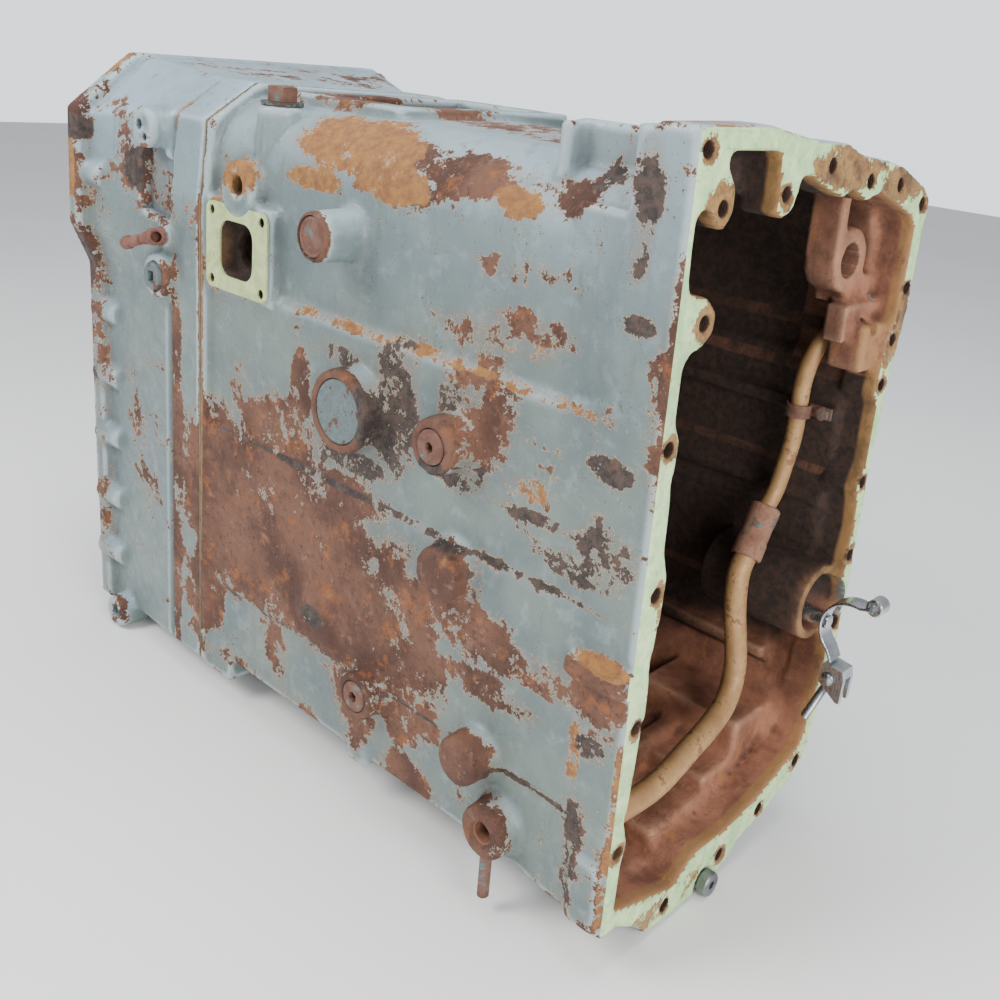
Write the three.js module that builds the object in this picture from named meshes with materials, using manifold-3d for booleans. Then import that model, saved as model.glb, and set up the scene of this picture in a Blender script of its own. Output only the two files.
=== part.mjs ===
// Gearbox case of a heavy vehicle: two iron castings bolted together, with the pieces still fitted to them.
// Millimetres, +Z up. X runs lengthwise: the open rear flange faces +X and the clutch bell faces -X.
// The side wall with the bosses faces -Y. While it is modelled, X = 0 is the rear flange face, Y = 0 its
// left edge and Z = 0 the foot of that edge. The whole assembly is then moved onto its box centre.
import * as THREE from "three";
import { mergeVertices } from "three/addons/utils/BufferGeometryUtils.js";
import Module from "manifold-3d";

const wasm = await Module();
wasm.setup();

// ---------- driving dimensions ----------
const GAP = 0.3;                  // left between faces that touch
const CLEAR = 0.9;                // left round a pin in its hole
const CASE_FRONT = -548;          // joint face of the main case
const GASKET = 0.8;               // thickness of the joint gasket
const HOUSING_REAR = CASE_FRONT - GASKET - 2 * GAP;
const BELL_FACE = -770;           // front face of the bell
const BELL_FLANGE = 20;           // its thickness
const STRIP_END = -600;           // where the straight band behind the joint ends
const FLANGE = 34;                // rear flange thickness
const LAND = 18;                  // thickness of the inner lips at the joint
const UPPER_Y = 12;               // left wall above the long ledge
const MIDDLE_Y = 4;               // left wall between the ledge and the middle line
const LOWER_Y = 0.5;              // left wall below the middle line
const TAPPED = 5.6;               // radius of the tapped flange holes
const TAP_DEPTH = 26;
const TOP_BOSS = 566;             // height of the boss under the hex plug
const JOINT_BOLT = 7;             // radius of an M14 joint bolt
const DOWEL = 6;
const ROUND = 14;                 // sides of an ordinary round
const PIPE_LOW = 10.5;            // radius of the lower oil pipe
const PIPE_HIGH = 8;              // radius of the upper oil pipe
const PORT = { x: -487, z: 435, width: 96, height: 80, opening: 52, thickness: 2 };
const LOBE = { x: -487, z: 492, radius: 25 };       // tapped lobe above the side port
const LEDGE = 404;                // height of the long ledge of the walls
const SOCKET_DEPTH = 8;           // wrench sockets of the screw plugs

// Fittings of the left wall: centre, then the radius of the bore that takes them.
const UPPER_BORE = { x: -340, z: 475, radius: 17 };
const CORE_BORE = { x: -315, z: 333, radius: 28 };
const DETENT_BORE = { x: -193, z: 341, radius: 14 };
const LOWER_BORE = { x: -277, z: 82, radius: 14 };
const SOCKET_BORE = { x: -612, z: 388, radius: 14 };
const HOSE_BORE = { x: -606, z: 428, radius: 6 };
const DRAIN_BOSS = { x: -113, z: 38, radius: 23 };
const RECESS_BOSS = { x: -631, z: 528, radius: 19 };
const FOOT_BOSS = { x: -712, z: -22, radius: 19 };

// Fittings of the other sides.
const TOP_PLUG = { x: -472, y: 34, radius: 10 };
const DRAIN_TUBE = { x: -113, y: -10, radius: 5 };
const SUMP_PLUG = { x: -250, y: 150, radius: 13 };
const SIDE_CAP = { x: -320, z: 330, radius: 36 };
const LEVEL_BORE = { x: -160, z: 120, radius: 13 };
const OIL_UNION = { y: 144, z: -30, radius: 9 };

// Shaft lines, in (Y, Z): bore in the middle web and bore in the front housing.
const MAIN_SHAFT = { y: 170, z: 392, web: 78, front: 66 };
const COUNTER_SHAFT = { y: 150, z: 205, web: 58, front: 42 };
const REVERSE_SHAFT = { y: 268, z: 250, web: 30, front: 24 };
const SIDE_SHAFT = { y: 300, z: 178, radius: 26 };
const LUG_EYE = { y: 288, z: 492, radius: 15 };     // eye of the lug that hangs from the roof

// ---------- colours ----------
const PAINT = { color: 0x8b9a9c, roughness: 0.55, metalness: 0.1 };
const MINT = { color: 0xc3cc9b, roughness: 0.75, metalness: 0 };
const RUST = { color: 0x8a5a4a, roughness: 0.9, metalness: 0.2 };
const OCHRE = { color: 0xb08a4a, roughness: 0.65, metalness: 0.1 };
const COPPER = { color: 0x8f5f55, roughness: 0.5, metalness: 0.6 };
const STEEL = { color: 0xb8bcc0, roughness: 0.25, metalness: 1 };
const DARK = { color: 0x4b4140, roughness: 0.7, metalness: 0.4 };

// ---------- solids ----------
function solid(geometry) {
  const bare = geometry.index ? geometry.toNonIndexed() : geometry.clone();
  bare.deleteAttribute("normal");
  bare.deleteAttribute("uv");
  const merged = mergeVertices(bare, 1e-4);
  return new wasm.Manifold(new wasm.Mesh({
    numProp: 3,
    vertProperties: new Float32Array(merged.attributes.position.array),
    triVerts: new Uint32Array(merged.index.array),
  }));
}

function geometryOf(body) {
  const mesh = body.getMesh();
  const geometry = new THREE.BufferGeometry();
  const positions = new Float32Array(mesh.vertProperties);
  geometry.setAttribute("position", new THREE.BufferAttribute(positions, 3));
  geometry.setIndex(new THREE.BufferAttribute(new Uint32Array(mesh.triVerts), 1));
  return geometry;
}

const union = (bodies) => bodies.reduce((sum, body) => sum.add(body));
const cut = (body, tools) => tools.reduce((left, tool) => left.subtract(tool), body);

function box(x0, x1, y0, y1, z0, z1) {
  const block = new THREE.BoxGeometry(x1 - x0, y1 - y0, z1 - z0);
  block.translate((x0 + x1) / 2, (y0 + y1) / 2, (z0 + z1) / 2);
  return solid(block);
}

// A round bar between two points; radius2 makes it a cone.
function rod(from, to, radius, sides = ROUND, radius2 = radius) {
  const start = new THREE.Vector3(...from);
  const along = new THREE.Vector3(...to).sub(start);
  const bar = new THREE.CylinderGeometry(radius2, radius, along.length(), sides);
  bar.translate(0, along.length() / 2, 0);
  const up = new THREE.Vector3(0, 1, 0);
  const turn = new THREE.Quaternion().setFromUnitVectors(up, along.clone().normalize());
  bar.applyQuaternion(turn);
  bar.translate(start.x, start.y, start.z);
  return solid(bar);
}

const alongX = (y, z, radius, x0, x1, sides = ROUND) => rod([x0, y, z], [x1, y, z], radius, sides);
const alongY = (x, z, radius, y0, y1, sides = ROUND) => rod([x, y0, z], [x, y1, z], radius, sides);
const alongZ = (x, y, radius, z0, z1, sides = ROUND) => rod([x, y, z0], [x, y, z1], radius, sides);

// A boss with a small chamfer, standing out of the left wall to -Y.
function wallBoss(x, z, radius, face, root = MIDDLE_Y + 8) {
  const chamfer = 2.5;
  const trunk = alongY(x, z, radius, face + chamfer, root, 16);
  const rim = rod([x, face + chamfer, z], [x, face, z], radius, 16, radius - chamfer);
  return trunk.add(rim);
}

// The bore in a side wall that takes a fitting, with the running gap round it.
const wallBore = ({ x, z, radius }, y0, y1, sides) => alongY(x, z, radius + CLEAR, y0, y1, sides);

// Turns a drawing in (Y, Z) and a run along X into a solid.
function prismX(outline, x0, x1) {
  const shape = new THREE.Shape(outline.map(([y, z]) => new THREE.Vector2(y, z)));
  const run = new THREE.ExtrudeGeometry(shape, { depth: x1 - x0, bevelEnabled: false });
  run.applyMatrix4(new THREE.Matrix4().set(0, 0, 1, x0, 1, 0, 0, 0, 0, 1, 0, 0, 0, 0, 0, 1));
  return solid(run);
}

// The same for a drawing in (X, Z) with a run along Y, and one in (X, Y) with a run along Z.
function prismY(outline, y0, y1) {
  const shape = new THREE.Shape(outline.map(([x, z]) => new THREE.Vector2(x, z)));
  const run = new THREE.ExtrudeGeometry(shape, { depth: y1 - y0, bevelEnabled: false });
  run.applyMatrix4(new THREE.Matrix4().set(1, 0, 0, 0, 0, 0, -1, y1, 0, 1, 0, 0, 0, 0, 0, 1));
  return solid(run);
}

function prismZ(outline, z0, z1) {
  const shape = new THREE.Shape(outline.map(([x, y]) => new THREE.Vector2(x, y)));
  const run = new THREE.ExtrudeGeometry(shape, { depth: z1 - z0, bevelEnabled: false });
  run.translate(0, 0, z0);
  return solid(run);
}

// A tapered skin between two outlines in (Y, Z) that have the same number of corners.
function loftX(first, x0, second, x1) {
  const flat = (outline) => outline.map(([y, z]) => new THREE.Vector2(y, z));
  const turn = (outline) => (THREE.ShapeUtils.isClockWise(flat(first)) ? [...outline].reverse() : outline);
  const near = turn(first);
  const far = turn(second);
  const count = near.length;
  const positions = [];
  near.forEach(([y, z]) => positions.push(x0, y, z));
  far.forEach(([y, z]) => positions.push(x1, y, z));
  const index = [];
  const cap = (outline, shift, reversed) => {
    const points = flat(outline);
    for (const [a, b, c] of THREE.ShapeUtils.triangulateShape(points, [])) {
      const clockwise = THREE.ShapeUtils.area([points[a], points[b], points[c]]) < 0;
      const swap = clockwise !== reversed;
      index.push(a + shift, (swap ? c : b) + shift, (swap ? b : c) + shift);
    }
  };
  cap(near, 0, true);
  cap(far, count, false);
  for (let i = 0; i < count; i += 1) {
    const j = (i + 1) % count;
    index.push(i, j, count + j, i, count + j, count + i);
  }
  const skin = new THREE.BufferGeometry();
  skin.setAttribute("position", new THREE.Float32BufferAttribute(positions, 3));
  skin.setIndex(index);
  return solid(skin);
}

// Points of an arc in degrees, measured from +Y towards +Z.
function arc(y, z, radius, from, to, steps = 7) {
  const points = [];
  for (let i = 0; i <= steps; i += 1) {
    const angle = THREE.MathUtils.degToRad(from + ((to - from) * i) / steps);
    points.push([y + radius * Math.cos(angle), z + radius * Math.sin(angle)]);
  }
  return points;
}

function hexagonX(y, z, acrossFlats, x0, x1) {
  return alongX(y, z, acrossFlats / Math.sqrt(3), x0, x1, 6);
}

// ---------- outlines, in (Y, Z) unless noted ----------
const caseOuter = [
  [3, 8], [3, 86], [LOWER_Y, 91], [LOWER_Y, 255], [MIDDLE_Y, 260], [MIDDLE_Y, 396],
  [UPPER_Y, 404], ...arc(72, 508, 60, 180, 92), [190, 570], ...arc(284, 500, 60, 88, 0),
  [344, 404], [336, 396], [331, 260], [329, 100], [311, 55], [285, 14],
  [200, -14], [120, -24], [60, -10], [20, 6],
];
const caseInner = [
  [17, 22], [17, 388], [25, 402], ...arc(73, 505, 48, 180, 92), [190, 556], ...arc(282, 500, 47, 88, 0),
  [329, 404], [321, 396], [317, 260], [315, 104], [298, 62], [276, 28],
  [200, 0], [120, -10], [60, 4], [26, 18],
];
const flangeOuter = [
  [0, 600], [84, 602], [102, 599], [145, 593], [195, 591], [219, 583], [268, 578], [296, 573],
  [342, 556], [355, 546], [352, 521], [350, 497], [352, 473], [350, 448], [344, 416], [338, 379],
  [337, 352], [334, 300], [334, 240], [336, 203], [333, 167], [332, 145], [318, 69], [305, 21],
  [281, 2], [233, -13], [198, -19], [182, -33], [164, -36], [150, -22], [139, -22], [132, -38],
  [119, -41], [64, -37], [50, -22], [19, -2], [0, -3],
];
const flangeInner = [
  [35, 578], [41, 585], [100, 585], [103, 552], [100, 544], [112, 539], [124, 544], [129, 556],
  [131, 568], [148, 567], [158, 562], [178, 556], [196, 551], [214, 557], [235, 547], [262, 554],
  [295, 543], [326, 531], [333, 524], [333, 457], [329, 440], [321, 425], [317, 398], [314, 377],
  [323, 366], [323, 311], [313, 290], [320, 275], [324, 248], [318, 222], [320, 206], [310, 170],
  [309, 145], [312, 125], [300, 62], [292, 37], [255, 23], [219, 12], [170, 5], [132, 8],
  [117, 3], [97, -10], [16, 15], [17, 56], [22, 73], [15, 97], [19, 124], [20, 156], [24, 188],
  [22, 231], [27, 263], [29, 291], [21, 315], [20, 344], [19, 367], [22, 395], [14, 409],
  [14, 445], [20, 455], [32, 457], [44, 466], [46, 480], [34, 491], [10, 496], [8, 524], [8, 543],
  [19, 552], [26, 541], [39, 534], [49, 545], [49, 562],
];
const flangeHoles = [
  [11, 586], [36, 549], [113, 556], [173, 575], [238, 563], [292, 559], [341, 542], [342, 470],
  [332, 425], [326, 385], [325, 294], [327, 222], [321, 155], [32, 474], [10, 391], [17, 282],
  [14, 177], [11, 71], [88, -23], [168, -18], [228, -2], [288, 21],
];
const joint = [
  [58, 580], [290, 576], [330, 560], [348, 510], [342, 50], [318, 6], [290, -16], [60, -26],
  [10, -20], [-1, -8], [-1, 373], [-1, 470], [6, 545],
];
const jointInner = [
  [76, 530], [275, 527], [292, 518], [302, 500], [298, 72], [286, 46], [268, 26], [76, 20],
  [52, 24], [44, 44], [44, 373], [45, 430], [54, 508],
];
const bell = [
  [50, 592], [363, 593], [440, 556], [458, 500], [458, 70], [425, -5], [330, -41], [60, -41],
  [22, -41], [4, -20], [0, 373], [-20, 418], [-18, 535],
];
const bellBack = [
  [60, 589], [358, 590], [430, 553], [446, 496], [446, 74], [416, 4], [328, -32], [60, -34],
  [26, -34], [14, -20], [10, 373], [-6, 420], [-4, 530],
];
const bellRootInner = [
  [66, 564], [284, 560], [318, 546], [333, 506], [328, 54], [308, 18], [284, -2], [64, -12],
  [24, -8], [12, 18], [12, 373], [13, 430], [20, 534],
];
const bellInner = [
  [56, 576], [358, 577], [428, 545], [443, 496], [443, 76], [415, 8], [325, -26], [66, -26],
  [32, -18], [15, 20], [15, 377], [-4, 422], [-3, 528],
];
const bellBackInner = [
  [66, 564], [354, 565], [420, 535], [433, 492], [433, 80], [406, 16], [322, -20], [68, -20],
  [36, -16], [24, 16], [24, 380], [8, 424], [9, 526],
];
// Plan outlines in (X, Y), then the pad for the jack in (X, Z).
const upperFlareOutline = [[-104, 13], [-80, 10], [-62, 5], [-49, 0], [-33, 0], [-33, 16], [-104, 16]];
const lowerFlareOutline = [[-85, 4.5], [-33, 0], [-33, 8], [-85, 8]];
const webRibOutline = [[-138, 56], [-138, 26], [-128, 26], [-124, 50], [-124, 56]];
const jackPadOutline = [[-58, 208], [-40, 203], [-4, 206], [-4, 226], [-18, 220], [-38, 217], [-56, 221]];

const jointBolts = [
  [27, 60], [27, 210], [27, 320], [30, 470], [110, 548], [230, 546], [318, 470], [316, 330],
  [315, 200], [314, 80], [240, 10], [110, 4],
];
const dowels = [[20, 130], [322, 400]];

// ---------- main case ----------
function mainCase() {
  const shell = prismX(caseOuter, CASE_FRONT + 10, -FLANGE + 1);
  const rearFlange = prismX(flangeOuter, -FLANGE, 0);
  const frontFlange = prismX(joint, CASE_FRONT, -538);
  const upperFlare = prismZ(upperFlareOutline, LEDGE, 540);
  const lowerFlare = prismZ(lowerFlareOutline, 2, LEDGE);
  const cornerWeb = box(-138, -30, 44, 56, 530, 592);
  const webRib = prismZ(webRibOutline, 520, 590);
  const cornerBlock = box(-50, -33, 0, 46, LEDGE, 597);
  const cornerPlate = box(-50, -33, 40, 108, 552, 597);
  const topPad = box(-500, -350, 66, 282, 555, 577);
  const portPad = box(PORT.x - 50, PORT.x + 50, 0, 30, PORT.z - 43, PORT.z + 43);
  const portLobe = alongY(LOBE.x, LOBE.z, LOBE.radius, -3, 30);
  const badge = box(-384, -334, -2.5, 6, 96, 146);
  const badgeRing = cut(ovalY(-359, 121, 21, 15, -4.5, -1), [ovalY(-359, 121, 17, 11, -6, 0)]);
  const plugBoss = alongZ(TOP_PLUG.x, TOP_PLUG.y, 21, 500, TOP_BOSS, 16);
  const jackPad = prismY(jackPadOutline, -10, 12);
  const lugs = [
    box(CASE_FRONT, -497, 2, 40, -15, 20),
    box(-305, -279, 0, 24, -2, 16),
    box(-34, -6, -5, 12, 2, 60),
  ];
  const bosses = [
    wallBoss(UPPER_BORE.x, UPPER_BORE.z, 21, -30, 20),
    wallBoss(CORE_BORE.x, CORE_BORE.z, 36, -18),
    wallBoss(DETENT_BORE.x, DETENT_BORE.z, 23, -24),
    wallBoss(-186, 235, 23, -18),
    wallBoss(LOWER_BORE.x, LOWER_BORE.z, 21, -18),
    wallBoss(-141, 92, 21, -26),
    wallBoss(DRAIN_BOSS.x, DRAIN_BOSS.z, DRAIN_BOSS.radius, -20),
  ];
  const farRibs = [
    box(-520, -40, 330, 343, 392, 402),
    box(-520, -40, 326, 336, 250, 262),
    box(-420, -404, 326, 340, 40, 500),
    box(-230, -214, 326, 340, 40, 500),
  ];
  const farBosses = [
    alongY(SIDE_CAP.x, SIDE_CAP.z, 48, 320, 352, 18),
    alongY(LEVEL_BORE.x, LEVEL_BORE.z, 24, 318, 346, 16),
  ];
  const outside = union([
    shell, rearFlange, frontFlange, upperFlare, lowerFlare, cornerWeb, webRib, cornerBlock, cornerPlate,
    topPad, portPad, portLobe, badge, badgeRing, plugBoss, jackPad,
    ...lugs, ...bosses, ...farRibs, ...farBosses,
  ]);

  const room = prismX(caseInner, CASE_FRONT + LAND, -FLANGE - 0.01);
  const inside = union([
    room,
    prismX(jointInner, CASE_FRONT - 1, CASE_FRONT + LAND + 0.01),
    prismX(flangeInner, -FLANGE - 0.02, 1),
  ]);
  const topOpening = box(-475, -375, 96, 254, 530, 590);
  const padHoles = [];
  for (const x of [-488, -425, -362]) {
    for (const y of [82, 268]) {
      padHoles.push(alongZ(x, y, TAPPED, 560, 590, 8));
    }
  }
  const portRoom = union([roundedPort(PORT.opening, -10, 14), alongY(PORT.x, PORT.z, 20, 0, 60)]);
  const portHoles = [];
  for (const side of [-1, 1]) {
    for (const level of [-1, 1]) {
      portHoles.push(alongY(PORT.x + side * 39, PORT.z + level * 32, 4.5, -10, 22, 8));
    }
  }
  const lobeTap = alongY(LOBE.x, LOBE.z + 2, 8.5, -10, 26);
  const casting = cut(outside, [inside, topOpening, ...padHoles, portRoom, ...portHoles, lobeTap]);

  // inner features of the casting
  const bearingWeb = cut(prismX(growInner(), -336, -320), [
    alongX(MAIN_SHAFT.y, MAIN_SHAFT.z, MAIN_SHAFT.web, -340, -310, 24),
    alongX(COUNTER_SHAFT.y, COUNTER_SHAFT.z, COUNTER_SHAFT.web, -340, -310, 20),
    alongX(REVERSE_SHAFT.y, REVERSE_SHAFT.z, REVERSE_SHAFT.web, -340, -310, 16),
    alongX(80, 510, 13, -340, -310, 10),
    alongX(140, 512, 13, -340, -310, 10),
  ]);
  const ringRound = (shaft, wall, sides) => {
    const rim = alongX(shaft.y, shaft.z, shaft.web + wall, -346, -310, sides);
    return rim.subtract(alongX(shaft.y, shaft.z, shaft.web, -350, -300, sides));
  };
  const webRings = ringRound(MAIN_SHAFT, 14, 24).add(ringRound(COUNTER_SHAFT, 13, 20));
  const collar = alongX(SIDE_SHAFT.y, SIDE_SHAFT.z, SIDE_SHAFT.radius + 10, -120, -12, 18);
  const hangingLug = union([
    alongX(LUG_EYE.y, LUG_EYE.z, LUG_EYE.radius + 13, -62, -30, 18),
    box(-62, -30, 260, 272, LUG_EYE.z, 552),
    box(-62, -30, LUG_EYE.y, 335, 454, 478),
  ]);
  const stepLug = union([box(-42, -8, 290, 332, 398, 440), box(-42, -22, 276, 332, 424, 456)]);
  const floorSteps = [
    box(-230, -40, 190, 300, -10, 26),
    box(-150, -40, 236, 312, -6, 62),
    box(-120, -104, 60, 250, -16, 34),
    box(-200, -184, 40, 250, -16, 26),
    box(-70, -36, 110, 240, -14, 14),
  ];
  const wallRibs = [
    box(-318, -33, 312, 324, 344, 356),
    box(-318, -33, 311, 324, 262, 274),
    box(-316, -60, 300, 320, 96, 108),
    box(-316, -44, 14, 26, 300, 310),
    box(-316, -44, 14, 26, 150, 160),
  ];
  const pipeSeat = box(-86, -34, 14, 40, 30, 84);
  const features = union([
    bearingWeb, webRings, collar, hangingLug, stepLug, ...floorSteps, ...wallRibs, pipeSeat,
  ]).intersect(prismX(growInner(), CASE_FRONT + LAND, -8));
  const whole = casting.add(features);

  const holes = flangeHoles.map(([y, z]) => alongX(y, z, TAPPED, -TAP_DEPTH, 1, 8));
  const jointTaps = jointBolts.map(([y, z]) => alongX(y, z, JOINT_BOLT + CLEAR, CASE_FRONT - 1, -531, 10));
  const dowelTaps = dowels.map(([y, z]) => alongX(y, z, DOWEL + CLEAR, CASE_FRONT - 1, -536, 10));
  return cut(whole, [
    ...holes, ...jointTaps, ...dowelTaps,
    alongX(SIDE_SHAFT.y, SIDE_SHAFT.z, SIDE_SHAFT.radius, -121, 1, 18),
    alongX(LUG_EYE.y, LUG_EYE.z, LUG_EYE.radius, -64, -28, 16),
    alongX(308, 436, 6, -40, -1, 10),
    wallBore(UPPER_BORE, -31, -24, 16),
    wallBore(CORE_BORE, -19, -12, 18),
    wallBore(DETENT_BORE, -25, -8, 12),
    wallBore(LOWER_BORE, -19, -6, 12),
    alongY(DRAIN_BOSS.x, DRAIN_BOSS.z, 9, -21, -2, 12),
    wallBore(SIDE_CAP, 344, 353, 18),
    wallBore(LEVEL_BORE, 330, 347, 12),
    alongZ(DRAIN_TUBE.x, DRAIN_TUBE.y, DRAIN_TUBE.radius + CLEAR, 0, 26, 8),
    alongZ(TOP_PLUG.x, TOP_PLUG.y, TOP_PLUG.radius + CLEAR, TOP_BOSS - 20, TOP_BOSS + 1, 10),
    alongX(OIL_UNION.y, OIL_UNION.z, OIL_UNION.radius + CLEAR, -25, 1, 12),
    alongZ(SUMP_PLUG.x, SUMP_PLUG.y, SUMP_PLUG.radius + CLEAR, -40, -4, 12),
    pipeBore(),
    alongY(-43, 350, 4, 303, 322, 8),
  ]);
}

// The room drawn a little larger, so that ribs reach into the walls without passing through them.
function growInner() {
  return caseInner.map(([y, z]) => [y + (y < 170 ? -3 : 3), z + (z < 280 ? -3 : 3)]);
}

function ovalY(x, z, halfWidth, halfHeight, y0, y1) {
  const ring = new THREE.CylinderGeometry(1, 1, y1 - y0, 20);
  ring.scale(halfWidth, 1, halfHeight);
  ring.translate(x, (y0 + y1) / 2, z);
  return solid(ring);
}

// The square port with rounded corners.
function roundedPort(side, y0, y1) {
  const half = side / 2;
  const corner = 14;
  const points = [
    ...arc(half - corner, half - corner, corner, 0, 90, 4),
    ...arc(corner - half, half - corner, corner, 90, 180, 4),
    ...arc(corner - half, corner - half, corner, 180, 270, 4),
    ...arc(half - corner, corner - half, corner, 270, 360, 4),
  ];
  return prismY(points.map(([x, z]) => [PORT.x + x, PORT.z + z]), y0, y1);
}

// ---------- front housing ----------
function frontHousing() {
  const strip = prismX(joint, STRIP_END, HOUSING_REAR);
  const cone = loftX(bellBack, BELL_FACE + BELL_FLANGE, joint, STRIP_END - 8);
  const neck = prismX(joint.map(([y, z]) => [y < 100 ? y + 5 : y, z]), STRIP_END - 9, STRIP_END + 1);
  const face = prismX(bell, BELL_FACE, BELL_FACE + BELL_FLANGE + 1);
  const ears = bellEars.map(([y, z]) => alongX(y, z, 14, BELL_FACE + 4, BELL_FACE + 50, 12));
  const bosses = [
    wallBoss(SOCKET_BORE.x, SOCKET_BORE.z, 22, -12, 12),
    wallBoss(RECESS_BOSS.x, RECESS_BOSS.z, RECESS_BOSS.radius, -12, 14),
    wallBoss(HOSE_BORE.x, HOSE_BORE.z, 12, -6, 12),
    wallBoss(FOOT_BOSS.x, FOOT_BOSS.z, FOOT_BOSS.radius, -10, 24),
  ];
  const outer = union([strip, cone, neck, face, ...bosses]);
  const hollow = union([
    loftX(bellInner, BELL_FACE - 1, bellInner, BELL_FACE + BELL_FLANGE),
    loftX(bellBackInner, BELL_FACE + BELL_FLANGE - 0.5, bellRootInner, STRIP_END),
    prismX(bellRootInner, STRIP_END - 0.5, HOUSING_REAR - LAND),
  ]);
  const bores = [
    alongX(MAIN_SHAFT.y, MAIN_SHAFT.z, MAIN_SHAFT.front, -590, -540, 24),
    alongX(COUNTER_SHAFT.y, COUNTER_SHAFT.z, COUNTER_SHAFT.front, -575, -540, 18),
    alongX(REVERSE_SHAFT.y, REVERSE_SHAFT.z, REVERSE_SHAFT.front, -575, -540, 16),
  ];
  const boltHoles = jointBolts.map(([y, z]) => alongX(y, z, JOINT_BOLT + CLEAR, -575, -540, 10));
  const pinHoles = dowels.map(([y, z]) => alongX(y, z, DOWEL + CLEAR, -562, -540, 10));
  const earEnd = BELL_FACE + BELL_FLANGE + 1;
  const earHoles = bellEars.map(([y, z]) => alongX(y, z, 7, BELL_FACE - 1, earEnd, 10));
  const retainerEnd = HOUSING_REAR - LAND + 1;
  const retainer = alongX(MAIN_SHAFT.y, MAIN_SHAFT.z, MAIN_SHAFT.front + 14, -582, retainerEnd, 24);
  const fitted = union([cut(outer, [hollow]), retainer, ...ears]);
  return cut(fitted, [
    ...bores, ...boltHoles, ...pinHoles, ...earHoles,
    wallBore(SOCKET_BORE, -15, 2, 12),
    wallBore(HOSE_BORE, -8, 6, 10),
    alongY(FOOT_BOSS.x, FOOT_BOSS.z, 8, -14, 30, 12),
    recess(),
    alongY(RECESS_BOSS.x, RECESS_BOSS.z, 6, -15, -4, 10),
  ]);
}

// The shallow pocket in the left wall of the housing, under its upper boss.
function recess() {
  return prismY([[-652, 448], [-604, 440], [-604, 500], [-616, 505], [-616, 548], [-652, 545]], -12, 8);
}

const bellEars = [
  [13, 322], [13, 250], [13, 180], [13, 108], [13, 40], [0, 470], [82, 574], [220, 576], [350, 576],
  [441, 480], [441, 330], [441, 190], [436, 60], [330, -24], [200, -26], [80, -26],
];

// ---------- gaskets, dowels and joint bolts ----------
function jointGasket() {
  const x0 = HOUSING_REAR + GAP;
  const x1 = CASE_FRONT - GAP;
  const sheet = prismX(joint, x0, x1).subtract(prismX(jointInner, x0 - 1, x1 + 1));
  const holes = jointBolts.map(([y, z]) => alongX(y, z, JOINT_BOLT + CLEAR, x0 - 1, x1 + 1, 8));
  const pins = dowels.map(([y, z]) => alongX(y, z, DOWEL + CLEAR, x0 - 1, x1 + 1, 8));
  return cut(sheet, [...holes, ...pins]);
}

function portGasket() {
  const y1 = -GAP;
  const y0 = y1 - PORT.thickness;
  const halfWidth = PORT.width / 2;
  const halfHeight = PORT.height / 2;
  const across = [PORT.x - halfWidth, PORT.x + halfWidth];
  const plate = box(...across, y0, y1, PORT.z - halfHeight, PORT.z + halfHeight);
  const holes = [];
  for (const side of [-1, 1]) {
    for (const level of [-1, 1]) {
      holes.push(alongY(PORT.x + side * 39, PORT.z + level * 32, 4.5, y0 - 1, y1 + 1, 10));
    }
  }
  const clearLobe = wallBore(LOBE, y0 - 1, y1 + 1, 16);
  return cut(plate, [...holes, clearLobe, roundedPort(PORT.opening, y0 - 1, y1 + 1)]);
}

function jointBolt([y, z]) {
  const headBack = HOUSING_REAR - LAND - GAP;
  return union([
    alongX(y, z, JOINT_BOLT, headBack - 1, -533, 8),
    alongX(y, z, 12.5, headBack - 2.5, headBack, 12),
    hexagonX(y, z, 21, headBack - 11, headBack - 2.4),
  ]);
}

const jointDowel = ([y, z]) => alongX(y, z, DOWEL, -561, -537, 10);

// ---------- plugs and fittings on the walls ----------
function cupPlug({ x, z, radius }, face, depth) {
  const disc = alongY(x, z, radius, face, face + depth, 18);
  return disc.subtract(alongY(x, z, radius - 4, face - 1, face + 1.5, 18));
}

function socketPlug({ x, z, radius }, face, depth, socket, sides) {
  const plug = alongY(x, z, radius, face, face + depth, 12);
  const turned = new THREE.CylinderGeometry(socket, socket, SOCKET_DEPTH, sides);
  turned.rotateY(Math.PI / sides);
  turned.translate(x, face + 3, z);
  return plug.subtract(solid(turned));
}

function hexPlug() {
  const shank = alongZ(TOP_PLUG.x, TOP_PLUG.y, TOP_PLUG.radius, TOP_BOSS - 18, TOP_BOSS + 4, 10);
  return shank.add(alongZ(TOP_PLUG.x, TOP_PLUG.y, 14, TOP_BOSS + 3.6, TOP_BOSS + 17, 6));
}

function hexPlugWasher() {
  const plate = alongZ(TOP_PLUG.x, TOP_PLUG.y, 19, TOP_BOSS + GAP, TOP_BOSS + 3.3, 16);
  const hole = alongZ(TOP_PLUG.x, TOP_PLUG.y, TOP_PLUG.radius + CLEAR, TOP_BOSS - 2, TOP_BOSS + 9, 10);
  return plate.subtract(hole);
}

function hoseElbow() {
  const stem = alongY(HOSE_BORE.x, HOSE_BORE.z, HOSE_BORE.radius, -15, 4, 10);
  const nut = alongY(HOSE_BORE.x, HOSE_BORE.z, 10, -11, -6 - GAP, 6);
  const ball = solid(new THREE.SphereGeometry(8.5, 10, 6).translate(-606, -16, 428));
  const barrel = rod([-606, -16, 428], [-589, -22, 431], 8, 10);
  const nipple = rod([-606, -16, 428], [-650, -22, 414], 5.5, 10);
  const barb = rod([-641, -20.8, 416.9], [-650, -22, 414], 7, 10, 5.8);
  const whole = union([stem, nut, ball, barrel, nipple, barb]);
  return cut(whole, [
    rod([-601, -17.8, 428.9], [-584, -23.8, 431.9], 5.2, 10),
    rod([-620, -17.9, 423.5], [-660, -23.4, 410.8], 3.2, 12),
  ]);
}

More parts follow.
